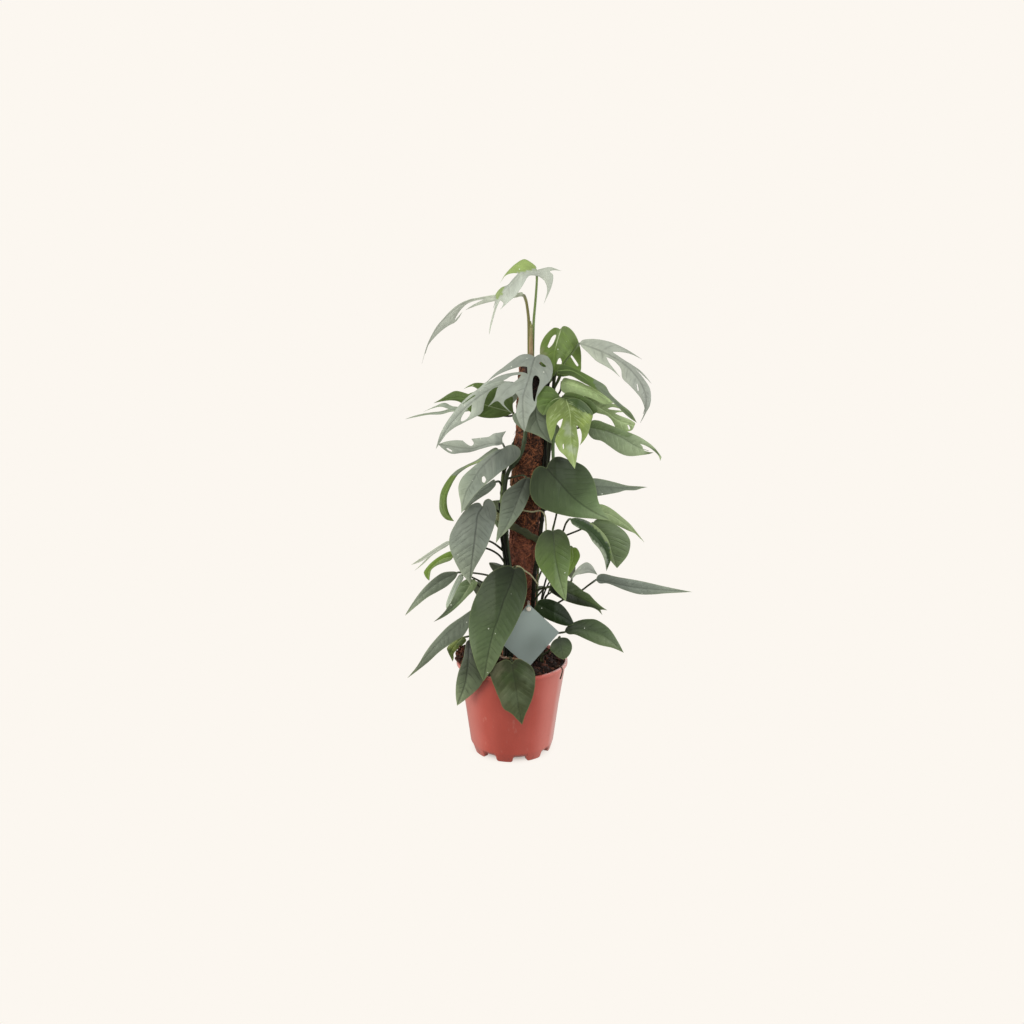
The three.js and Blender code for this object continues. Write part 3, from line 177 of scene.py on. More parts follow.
# Joins shapes into one, with the attributes that the first one has
def joined(shapes):
    starts = np.cumsum([0] + [len(shape["points"]) for shape in shapes[:-1]])
    whole = {key: np.concatenate([shape[key] for shape in shapes])
             for key in shapes[0] if key not in ("faces", "sharp")}
    whole["faces"] = [face + start for shape, start in zip(shapes, starts) for face in shape["faces"]]
    sharp = [shape["sharp"] + start for shape, start in zip(shapes, starts) if "sharp" in shape]
    return {**whole, "sharp": np.vstack(sharp)} if sharp else whole


def unit(vectors):
    return vectors / np.maximum(np.linalg.norm(vectors, axis=-1, keepdims=True), 1e-9)


# S-shaped step from 0 at low to 1 at high: 3s^2 - 2s^3
def ease(values, low, high):
    share = np.clip((values - low) / (high - low), 0, 1)
    return share * share * (3 - 2 * share)


# A centripetal Catmull-Rom curve: a cubic between each two points, whose slopes weigh the chords
# beside them by the square roots of their lengths. Ends are mirrored. Gives count + 1 points.
def curveThrough(points, count):
    listed = np.asarray(points, float)
    padded = np.vstack([2 * listed[0] - listed[1], listed, 2 * listed[-1] - listed[-2]])
    along = np.linspace(0, len(listed) - 1, count + 1)
    first = np.minimum(along.astype(int), len(listed) - 2)
    t = (along - first)[:, None]
    p0, p1, p2, p3 = (padded[first + i] for i in range(4))
    d0, d1, d2 = (np.sqrt(np.linalg.norm(far - near, axis=1))[:, None]
                  for near, far in ((p0, p1), (p1, p2), (p2, p3)))
    out = ((p1 - p0) / d0 - (p2 - p0) / (d0 + d1)) * d1 + p2 - p1
    back = ((p3 - p2) / d2 - (p3 - p1) / (d1 + d2)) * d1 + p2 - p1
    return (2 * t**3 - 3 * t**2 + 1) * p1 + (t**3 - 2 * t**2 + t) * out \
        + (3 * t**2 - 2 * t**3) * p2 + (t**3 - t**2) * back


# The way run along a path up to each of its points
def runAlong(path):
    return np.append(0, np.cumsum(np.linalg.norm(np.diff(path, axis=0), axis=1)))


# A path with count points evenly spaced on it
def respaced(path, count):
    run = runAlong(path)
    stations = np.linspace(0, run[-1], count)
    return np.stack([np.interp(stations, run, path[:, k]) for k in range(path.shape[1])], 1)


# The curve through the points with stations evenly spaced, step apart
def evenly(points, step):
    path = curveThrough(points, 12 * (len(points) - 1))
    return respaced(path, max(3, int(runAlong(path)[-1] / step)) + 1)


# Points at a radius, turn and height round an upright axis at [middle, 0]
def around(radius, turn, height, middle=0):
    return np.stack(np.broadcast_arrays(middle + radius * np.cos(turn), radius * np.sin(turn), height), -1)


# Index quads of a rows x columns grid, closed across the columns where wrapped
def gridFaces(rows, columns, wrapped=False):
    across = np.arange(columns if wrapped else columns - 1)
    row, column = np.meshgrid(np.arange(rows - 1), across, indexing="ij")
    after = (column + 1) % columns
    quads = [row * columns + column, (row + 1) * columns + column, (row + 1) * columns + after,
             row * columns + after]
    return np.stack([corner.ravel() for corner in quads], 1)


# Triangles that close a grid of rings at its first and last ring, each in a pole. The poles are the
# two points after the rings.
def poleFaces(rows, sides):
    here = np.arange(sides)
    there, last = (here + 1) % sides, (rows - 1) * sides
    return np.vstack([np.stack([np.full(sides, rows * sides), here, there], 1),
                      np.stack([np.full(sides, rows * sides + 1), last + there, last + here], 1)])


# A profile carried along a path: at each station the ring is radius (cos, sin) on two directions
# square to the path, one of them kept square to the direction the path leans to least. Both ends
# close in a pole.
def sweep(path, radii, sides):
    path = np.asarray(path, float)
    radii = np.broadcast_to(radii, len(path))
    along = unit(np.gradient(path, axis=0))
    least = np.linalg.svd(along, full_matrices=False)[2][-1]
    side = unit(np.cross(along, least))
    up = np.cross(side, along)
    turn = np.arange(sides) * 2 * np.pi / sides
    ring = np.cos(turn)[None, :, None] * side[:, None] + np.sin(turn)[None, :, None] * up[:, None]
    points = path[:, None] + radii[:, None, None] * ring
    ends = np.array([path[0] - 0.3 * radii[0] * along[0], path[-1] + 0.3 * radii[-1] * along[-1]])
    return {"points": np.vstack([points.reshape(-1, 3), ends]),
            "faces": [gridFaces(len(path), sides, True), poleFaces(len(path), sides)]}


# A profile of [radius, height] turned about the Z axis, each corner rounded with a short arc that
# starts round millimetres before it. columns is their number or a list of their turns, and lifted
# may change the heights. An open profile starts and ends on the axis, a looped one is a ring.
def turned(profile, columns, round, looped=False, lifted=None):
    listed = np.asarray(profile, float)
    before, after = np.roll(listed, 1, 0), np.roll(listed, -1, 0)
    inner = slice(None) if looped else slice(1, -1)
    legIn, legOut = (before - listed)[inner], (after - listed)[inner]
    reach = [np.minimum(round, 0.45 * np.linalg.norm(leg, axis=1))[:, None] for leg in (legIn, legOut)]
    start, end = listed[inner] + reach[0] * unit(legIn), listed[inner] + reach[1] * unit(legOut)
    s = np.linspace(0, 1, 5)[None, :, None]
    arcs = (1 - s)**2 * start[:, None] + 2 * s * (1 - s) * listed[inner][:, None] + s**2 * end[:, None]
    line = arcs.reshape(-1, 2)
    if not looped:
        line = np.vstack([listed[:1], line, listed[-1:]])
    turns = np.asarray(columns) if np.ndim(columns) else np.arange(columns) * 2 * np.pi / columns
    radius, height = line[:, :1] + 0 * turns, line[:, 1:] + 0 * turns
    if lifted:
        height = lifted(height)
    points = around(radius, turns, height).reshape(-1, 3)
    quads = gridFaces(len(line), len(turns), True)[:, ::-1]
    if looped:
        last = (len(line) - 1) * len(turns) + np.arange(len(turns))
        here = np.arange(len(turns))
        quads = np.vstack([quads, np.stack([last, np.roll(last, -1), np.roll(here, -1), here], 1)])
    return {"points": points, "faces": [quads]}


# How far each point is from the nearest of the others, and which one that is
def nearest(points, others):
    away = np.linalg.norm(points[:, None] - others[None], axis=2)
    which = away.argmin(1)
    return away[np.arange(len(points)), which], which


# Whether points lie inside closed rings, by counting the edges to their right
def inside(points, rings):
    odd = np.zeros(len(points), bool)
    for ring in rings:
        x0, z0 = ring.T
        x1, z1 = np.roll(ring, -1, 0).T
        across, up = points[:, :1], points[:, 1:]
        spans = (z0 > up) != (z1 > up)
        slope = (x1 - x0) / np.where(z1 == z0, 1, z1 - z0)
        odd ^= (spans & (across < x0 + (up - z0) * slope)).sum(1) % 2 == 1
    return odd


# A flat sheet of triangles inside the first ring and outside the others, with inner points on a
# triangular grid and edges along the given line. Gives its points and triangles.
def flatSheet(rings, spacing, line=np.empty((0, 2))):
    fixed = np.vstack([*rings, line])
    low, high = rings[0].min(0), rings[0].max(0)
    across, up = np.meshgrid(np.arange(low[0], high[0], spacing), np.arange(low[1], high[1], 0.87 * spacing))
    across[1::2] += spacing / 2
    grid = np.stack([across.ravel(), up.ravel()], 1)
    grid = grid[inside(grid, rings)]
    grid = grid[nearest(grid, fixed)[0] > 0.6 * spacing]
    after = np.arange(1, len(fixed) + 1)
    ends = np.cumsum([len(ring) for ring in rings])
    after[ends - 1] = np.append(0, ends[:-1])           # each ring closes, the line doesn't
    edges = np.stack([np.arange(len(fixed)), after], 1)[:len(fixed) - (len(line) > 0)]
    flat = np.vstack([fixed, grid])
    made = delaunay_2d_cdt(flat.tolist(), edges.tolist(), [], 0, 1e-4)
    flat, triangles = np.array([point[:] for point in made[0]]), np.array(made[2], int)
    middle = flat[triangles].mean(1)
    triangles = triangles[inside(middle, rings)]
    one, two, three = (flat[triangles[:, k]] for k in range(3))
    area = (two[:, 0] - one[:, 0]) * (three[:, 1] - one[:, 1]) \
        - (two[:, 1] - one[:, 1]) * (three[:, 0] - one[:, 0])
    triangles[area < 0] = triangles[area < 0][:, ::-1]
    triangles = triangles[np.abs(area) > 1e-5]
    used, triangles = np.unique(triangles, return_inverse=True)
    return flat[used], triangles.reshape(-1, 3)


# Thickens a sheet: each point goes half a thickness both ways along its normal, and strips close
# the rim, whose edges are sharp. The faces are the front, the back and the rim.
def thickened(points, triangles, half):
    one, two, three = (points[triangles[:, k]] for k in range(3))
    face = np.cross(two - one, three - one)
    normals = np.zeros_like(points)
    for k in range(3):
        np.add.at(normals, triangles[:, k], face)
    shift = unit(normals) * np.broadcast_to(half, len(points))[:, None]
    count = len(points)
    edges = np.vstack([triangles[:, [0, 1]], triangles[:, [1, 2]], triangles[:, [2, 0]]])
    forward, backward = edges @ [count, 1], edges[:, ::-1] @ [count, 1]
    rim = edges[~np.isin(forward, backward)]
    strips = np.stack([rim[:, 1], rim[:, 0], rim[:, 0] + count, rim[:, 1] + count], 1)
    return {"points": np.vstack([points + shift, points - shift]),
            "faces": [triangles, triangles[:, ::-1] + count, strips],
            "sharp": np.vstack([rim, rim + count])}


# Where foliage is in space

# Foliage is laid out as it is seen from the front: [across, up] on the upright plane through the
# pot's axis, and the depth behind (+) or before (-) it
eyeDistance, eyeHeight = 1183, 555
foliage = {"sweepCentre": 16, "sweepFree": 36, "sweep": 0.4, "sway": 12, "swayHeight": 26, "swayReach": 25}


# A seen point goes out or in along its line of sight:
# place = eye + (seen - eye) * (1 + depth / eyeDistance)
def seen(listed):
    across, up, depth = np.asarray(listed, float).T
    spread = 1 + depth / eyeDistance
    return np.stack([across * spread, depth, eyeHeight + (up - eyeHeight) * spread], -1)


# Foliage goes back by sweep times its reach, the distance from sweepCentre beyond sweepFree, and
# by sway times a sine wave over height that fades in over swayReach
def swept(listed):
    across, up, depth = np.asarray(listed, float).T
    reach = np.maximum(0, np.abs(across - foliage["sweepCentre"]) - foliage["sweepFree"])
    sway = foliage["sway"] * np.sin(up / foliage["swayHeight"]) * np.minimum(1, reach / foliage["swayReach"])
    return seen(np.stack([across, up, depth + foliage["sweep"] * reach + sway], -1))


# The pole leans a little to the right: where its axis is at a height
def poleX(height):
    return 5.5 + 0.06 * (height - 120)


# Places written as text: "28 598, 22 603" is [[28, 598], [22, 603]]
def spots(text):
    return [[float(number) for number in spot.split()] for spot in text.split(",")]


# Vines from foot to top: the way right and back of their points, and their height
vineRows = {name: spots(text) for name, text in {
    "left": """-9 -19 88, -8 -20 180, -7 -18.5 238, -11.5 -17.5 275, -15.5 -18 303, -12.3 -18 326,
        -10 -18 358, -5 -9 372, -1 2 382, 4 14 392, 9 20 408, 14 22.5 462""",
    "front": """-1 -22 88, -1 -23 190, -2 -23.5 240, -7 -23.5 275, -8.5 -23.5 310, -8 -24 345, -4 -24 361,
        8 -24 377, 13.5 -24.5 392, 18.5 -24.5 440, 22 -21 495, 22.3 -10 516, 22 -4 536""",
    "right": "26 -16 88, 26 -16.5 205, 28 -16.5 235, 33 -16 270, 42 -12 360, 48 -8 430, 50 -6 476",
    "back": "9 25 88, 14 25 250, 22 25 400, 26 25 466",
    "backLeft": "-12 26 88, -12 26 180, -8 26 244",
    "backRight": "28 26 88, 31 26 200, 35 26 284",
}.items()}


# The point of a vine at this height, on the straight lines between its listed points
def onVine(name, height):
    points = np.array(vineRows[name])
    return np.array([np.interp(height, points[:, 2], points[:, k]) for k in range(3)])


# Leaves

tones = {
    "paleSilver": "#b5bcae", "silver": "#a3ac9f", "steel": "#8b9687", "greyGreen": "#75816d",
    "sage": "#6a785b", "deep": "#4d5e3d", "olive": "#55603d", "dark": "#2c4519", "mid": "#597038",
    "leafGreen": "#6c8639", "fresh": "#93ab58", "freshPale": "#93a773", "lime": "#9fb457",
    "stalk": "#30351f", "stalkGreen": "#6b7f48", "stalkBrown": "#6d6a3c", "stalkOlive": "#4c5c30",
    "ribPale": "#b9c79a", "ribDark": "#28361f", "brownish": "#87826a",
}

leafBuild = {
    "spacing": 2.0,         # distance between the blade's inner points
    "edgeStep": 1.3,        # distance between points on its edge
    "half": 0.34,           # half of the blade's thickness, less at the edge
    "fold": 2.0,            # how softly it folds at the midrib
    "bulge": 0.07,          # how much each half swells forward, against its width
    "wave": 0.8,            # depth of the waves along the edge
    "quilt": 0.3,           # depth of the swellings between the side veins
    "groove": 0.3,          # how far the midrib lies below the blade's face
    "veinGap": 9.0,         # distance between side veins
    "slant": 0.75,          # how far a side vein goes forward for each millimetre out
    "curl": 0.008,          # and how much it curves on
    "stalkRadius": [1.25, 1.1],     # at the vine and at the blade
}


# The blade's finish. Its colour is the tint attribute, which on the front leaves holds painted light
# and shade, times a shade of about 1, darker near the midrib as painted shade in the fold. The veins
# attribute holds the place between side veins, the distance to the midrib, negative on one half, and
# that to the edge. The habit attribute says how strong the side veins and the midrib are: paler (+)
# or darker (-) than the blade. Streaks are noise along the side veins, specks are pale and round, and
# the margin goes a fifth of the way to the colour named rim. The bumps sink at veins and midrib.
def leafFinish(name, paleness=0.0, gloss=0.5, speckles=0.6, streaked=0.0, specular=0.32, rim="#94a46a"):
    shader = Shader(name)
    place = shader.place()
    tint = shader.attribute("tint")
    phase, side, edge = shader.parts(shader.attribute("veins", "Vector"))
    veining, midrib, _ = shader.parts(shader.attribute("habit", "Vector"))
    gap, rib = leafBuild["veinGap"], abs(side)
    cloudy = shader.noise(place, 9, 3.0)
    patchy = shader.noise(place, 16, 2.0)
    grain = shader.noise(place, 1.1, 2.0)
    ruled = shader.node("CombineXYZ", None, {0: phase * gap, 1: side * 0.25, 2: 0.0})
    streaks = shader.noise(ruled, 2.3, 3.0)
    between = shader.noise(ruled, 6.5, 2.0)
    phase = phase + (grain - 0.5) * 0.12 + (cloudy - 0.5) * 0.4
    fromVein = abs((phase + 0.5) % 1 - 0.5) * gap
    line = 1 - shader.step(fromVein, 0.1, 0.4 + streaks * 1.5)
    broad = 1 - shader.step(fromVein, 0.5, 4.0)
    fine = 1 - shader.step(abs((phase * 3.0 + 0.5) % 1 - 0.5) * gap / 3, 0.1, 0.7)
    inner = shader.step(rib, 0.2, 2.0) * shader.step(edge, 0.5, 6.0)
    body = inner * shader.step(patchy, 0.28, 0.6)
    middle = (1 - shader.step(rib, 0.35, 1.4)) * shader.step(edge, 0.2, 1.2)
    banks = shader.step(rib, 0.9, 1.9) * (1 - shader.step(rib, 2.0, 5.0)) * inner
    marks = veining * ((line * 0.24 + broad * 0.14 + fine * 0.05) * body)
    midribs = midrib * middle * 0.4 + abs(midrib) * banks * 0.1
    streaking = (streaks - 0.5) * inner * (0.24 + abs(veining) * 0.34) + (between - 0.5) * 0.3 * inner
    # Painted shade in the fold: darker within about 11 mm of the midrib
    beside = 1 - shader.step(rib, 1.0, 11.0)
    shade = 1.04 + marks + midribs + streaking - beside * 0.12 + (cloudy - 0.5) * 0.36 \
        + (patchy - 0.5) * 0.24 + (grain - 0.5) * 0.12
    colour = shader.scaled(tint, shade)
    if streaked:
        pale = shader.step(streaks + (patchy - 0.5) * 0.5, 0.5, 0.72) * inner * streaked
        colour = shader.mix(pale, colour, paint("#a9bb86"))
    if paleness:
        colour = shader.mix(paleness, colour, paint("#a9b494"))
    cell = {"Vector": place, "Scale": 0.11}
    spot = shader.node("TexVoronoi", None, cell)
    chosen = shader.parts(shader.node("TexVoronoi", None, cell, out="Color"))[0]
    few = 1 - 0.45 * speckles
    speck = (1 - shader.step(spot, 0.06, 0.095)) * shader.step(chosen, few, few + 0.01)
    colour = shader.mix(speck * 0.8, colour, paint("#e4e9d8"))
    margin = 1 - shader.step(edge, 0.2, 1.3)
    colour = shader.mix(margin * 0.2, colour, paint(rim))
    height = grain * 0.03 - line * body * 0.3 - middle * 0.3 + cloudy * 0.3 + streaks * inner * 0.14
    return shader.finish(colour, 0.66 - 0.3 * gloss + grain * 0.14, height, 0.8,
                         **{"Coat Weight": 0.1 * gloss, "Coat Roughness": 0.35, "Specular IOR Level": specular})


# Stalks and midribs: the tint with fine streaks and a few pale spots
def stalkFinish(name):
    shader = Shader(name)
    place = shader.place()
    streak = shader.noise(place, 2.2, 3.0, (1, 1, 0.2))
    spots = shader.noise(place, 1.0, 2.0)
    colour = shader.scaled(shader.attribute("tint"), 0.8 + streak * 0.45 + (spots - 0.5) * 0.2)
    return shader.finish(colour, 0.55, streak * 0.15 + spots * 0.06, **{"Specular IOR Level": 0.25})


leafFinishes = {
    "silver": leafFinish("satin_silver_leaf", gloss=0.35, speckles=0.3, rim="#7f8c74"),
    "grey_green": leafFinish("grey_green_leaf", gloss=0.4, speckles=0.5),
    "dark_green": leafFinish("dark_green_leaf", gloss=0.4, speckles=0.4, specular=0.2),
    "mid_green": leafFinish("mid_green_leaf", gloss=0.55, speckles=0.6),
    "fresh_green": leafFinish("fresh_green_leaf", gloss=0.6, speckles=0.3, streaked=0.55),
    "lime": leafFinish("lime_leaf", gloss=0.5, speckles=0.3),
}
undersideFinish = leafFinish("leaf_underside", paleness=0.3, gloss=0.1, speckles=0.1)
stalkPaint = stalkFinish("leaf_stalk")


# A smooth run through the listed points, broken at each point whose third value is set: uniform
# Catmull-Rom cubics, p = 0.5 (2b + (c - a) t + (2a - 5b + 4c - d) t^2 + (3b - a - 3c + d) t^3)
def edgeRun(listed, step):
    knots = np.array([point[:2] for point in listed], float)
    breaks = [i for i, point in enumerate(listed) if len(point) > 2 and 0 < i < len(listed) - 1]
    pieces = []
    for start, end in zip([0] + breaks, breaks + [len(knots) - 1]):
        run = knots[start:end + 1]
        padded = np.vstack([run[:1], run, run[-1:]])
        for i in range(len(run) - 1):
            a, b, c, d = padded[i:i + 4]
            t = np.linspace(0, 1, max(2, int(np.linalg.norm(c - b) / step) + 1) + 1)[:-1, None]
            pieces.append(0.5 * (2 * b + (c - a) * t + (2 * a - 5 * b + 4 * c - d) * t**2
                                 + (3 * b - a - 3 * c + d) * t**3))
    return np.vstack(pieces + [knots[-1:]])


# Place between side veins, whole numbers on them: they leave the midrib forward and curve on
# towards the tip, (along - slant away - curl away^2) / veinGap, with uneven gaps
def sidePhase(along, away, number):
    phase = (along - leafBuild["slant"] * away - leafBuild["curl"] * away**2) / leafBuild["veinGap"]
    return phase + 0.2 * np.sin(1.9 * phase + number) + 0.1 * np.sin(4.3 * phase + 2 * number)


# A blade from its sheet, thinner at its edge, with the same tint and veins on both faces
def bladeShape(places, triangles, tint, veins, habit):
    half = leafBuild["half"] * (0.45 + 0.55 * ease(veins[:, 2], 0, 2))
    return {**thickened(places, triangles, half), "tint": np.tile(tint, (2, 1)),
            "veins": np.tile(veins, (2, 1)), "habit": np.tile([*habit, 0.0], (2 * len(places), 1))}


# Blade of a seen leaf. Depth at a point is the mean of the midrib's depths weighed by
# 1 / (distance^2 + 4)^2, plus lean times the distance to the midrib, made soft near it; then each
# half swells by bulge times its width times sin(pi u), u running from midrib to edge, waves along
# the edge as u^2 sin(along), quilts between its side veins and sinks at the midrib as
# exp(-(away / 1.3)^2). fade paints light and shade along it from foot to tip, and on a few leaves
# a dark tip of their own; halves paints one half lighter and the other darker, as painted light and
# shade; what they add above 1 is a paler, whitish green, a painted sheen. A patch fades out from
# its middle and its edge is uneven, as radius * (1 + 0.3 sin(2 bearing) + 0.2 sin(5 bearing)). An
# area has a clear outline.
def bladeOf(row, number):
    build = leafBuild
    mid, listedA, listedB = (spots(row[key]) for key in ("mid", "a", "b"))
    ribPath = evenly(mid, 1.6)
    rib = ribPath[:, :2]
    foot, tip = mid[0][:2], mid[-1][:2]
    halfA, halfB = (edgeRun([foot, *listed, tip], build["edgeStep"]) for listed in (listedA, listedB))
    holes = [edgeRun(hole + hole[:1], 0.8)[:-1] for hole in map(spots, row.get("holes", []))]
    rings = [np.vstack([halfA[:-1], halfB[:0:-1]])] + holes
    flat, triangles = flatSheet(rings, build["spacing"], rib[1:-1])
    away, which = nearest(flat, rib)
    square = ((flat[:, None] - rib[None])**2).sum(2)
    weight = 1 / (square + 4)**2
    depth = (weight * ribPath[:, 2]).sum(1) / weight.sum(1)
    slope = unit(np.gradient(rib, axis=0))
    offset = flat - rib[which]
    turn = slope[which, 0] * offset[:, 1] - slope[which, 1] * offset[:, 0]
    pointsA = np.array([point[:2] for point in listedA])
    nearA = nearest(pointsA, rib)[1]
    offA = pointsA - rib[nearA]
    sideA = np.median(np.sign(slope[nearA, 0] * offA[:, 1] - slope[nearA, 1] * offA[:, 0]))
    leanA, leanB = row.get("lean", [0.12, 0.12])
    onA = turn * sideA > 0
    lean = np.where(onA, leanA, leanB)
    edge = nearest(flat, np.vstack(rings))[0]
    run = runAlong(rib)
    along = run[which] + (offset * slope[which]).sum(1)
    width = away + edge
    u = away / np.maximum(width, 0.1)
    size = np.minimum(1, width / 14)
    phase = sidePhase(along, away, number)
    depth += lean * (np.sqrt(away**2 + build["fold"]**2) - build["fold"])
    depth -= build["bulge"] * width * np.sin(np.pi * u)
    depth += build["wave"] * size * u**2 * np.sin(along / 8.5 + number * 1.7 + 2.1 * (turn > 0))
    depth += row.get("quilt", 1.0) * build["quilt"] * size * np.cos(2 * np.pi * phase) * np.sin(np.pi * u)
    depth += build["groove"] * size * np.exp(-(away / 1.3)**2)
    places = swept(np.stack([flat[:, 0], flat[:, 1], depth], 1))
    share = np.clip(along / run[-1], 0, 1)
    tone = paint(tones[row["tone"]], row.get("light", 1.0))
    # Painted light and shade: lit is the light painted along the blade and on its halves, and above 1 it adds a
    # whitish painted sheen
    fade = row.get("fade", [0.88, 1.12])
    lightA, lightB = row.get("halves", [1, 1])
    soft = np.where(onA, 0.5, -0.5) * ease(away, 0, 2)
    lit = np.interp(share, np.linspace(0, 1, len(fade)), fade)[:, None]
    lit = lit * ((lightA + lightB) / 2 + (lightA - lightB) * soft)[:, None]
    paintedSheen = tone[:3] @ [0.21, 0.72, 0.07] * np.array([0.9, 1.05, 0.6, 1])
    tint = tone * np.minimum(lit, 1) + paintedSheen * np.maximum(lit - 1, 0)
    for x, z, radius, name, strength in row.get("patches", []):
        bearing = np.arctan2(flat[:, 1] - z, flat[:, 0] - x)
        reach = radius * (1 + 0.3 * np.sin(2 * bearing + x) + 0.2 * np.sin(5 * bearing + z))
        near = strength * (1 - ease(np.hypot(flat[:, 0] - x, flat[:, 1] - z) / reach, 0.4, 1.15))[:, None]
        tint = tint * (1 - near) + paint(tones[name]) * near
    for name, strength, ring in row.get("areas", []):
        within = strength * inside(flat, [np.array(spots(ring))])[:, None]
        tint = tint * (1 - within) + paint(tones[name]) * within
    veins = np.stack([phase, away * np.where(onA, 1, -1), edge], 1)
    blade = bladeShape(places, triangles, tint, veins, [row.get("veining", 0.4), row.get("rib", 0)])
    behind = 0.55 if row.get("rib", 0) > 0 else 1.35        # a pale midrib shows through the blade
    ribPlaces = swept(np.stack([rib[:, 0], rib[:, 1], ribPath[:, 2] + behind], 1))
    return blade, ribPlaces


# Gives a tube its tint. Its veins are all 5.5, far from the next vein, and its habit is 0.
def painted(tube, tint):
    count = len(tube["points"])
    tube.update(tint=np.broadcast_to(tint, (count, 4)), veins=np.full((count, 3), 5.5),
                habit=np.zeros((count, 3)))
    return tube


# Stalk and midrib in one tube: from the vine, a little swollen there and below the blade, then
# along the blade's back, ever thinner
def stalkOf(points, ribPlaces, row, radii):
    path = evenly(points, 2.0)
    count = len(path)
    whole = np.vstack([path[:-1], ribPlaces[:int(0.93 * len(ribPlaces))]])
    station = np.arange(len(whole))
    onStalk = np.minimum(station / count, 1)
    onRib = np.clip((station - count) / max(1, len(whole) - count), 0, 1)
    swell = 1 + 0.35 * np.exp(-station / 2.5) + 0.18 * np.exp(-((station - count + 3) / 2.5)**2)
    low, high = radii
    radii = np.where(station >= count, 0.9 * (1 - onRib) + 0.28, swell * (low + (high - low) * onStalk))
    tube = sweep(whole, radii, 8)
    ring = np.append(np.repeat(station, 8), [0, station[-1]])
    rib = row.get("rib", 0)
    blade = paint(tones[row["tone"]], row.get("light", 1.0))
    ribTone = paint(tones["ribPale" if rib > 0 else "ribDark"])
    ribTint = blade * (1 - abs(rib) * 0.7) + ribTone * abs(rib) * 0.7
    stalk = paint(tones[row.get("stalkTone", "stalk")])
    share = ease(ring, count - 6, count + 3)[:, None]
    return painted(tube, stalk * (1 - share) + ribTint * share)


leafSlots = [0, 1, 0, 2, 2]     # front, back and rim of the blade, sides and ends of the tube


def leafPiece(name, row, number):
    blade, ribPlaces = bladeOf(row, number)
    points = [*swept(spots(row["stalk"]))[::-1], ribPlaces[0]]
    if "vine" in row:
        points.insert(0, onVine(*row["vine"]))
    tube = stalkOf(points, ribPlaces, row, row.get("stalkRadius", leafBuild["stalkRadius"]))
    makePiece("fine_leaf_" + name, joined([blade, tube]),
              [leafFinishes[row["slot"]], undersideFinish, stalkPaint], "leaf_" + row["slot"],
              ["leaf_" + name], leafSlots)
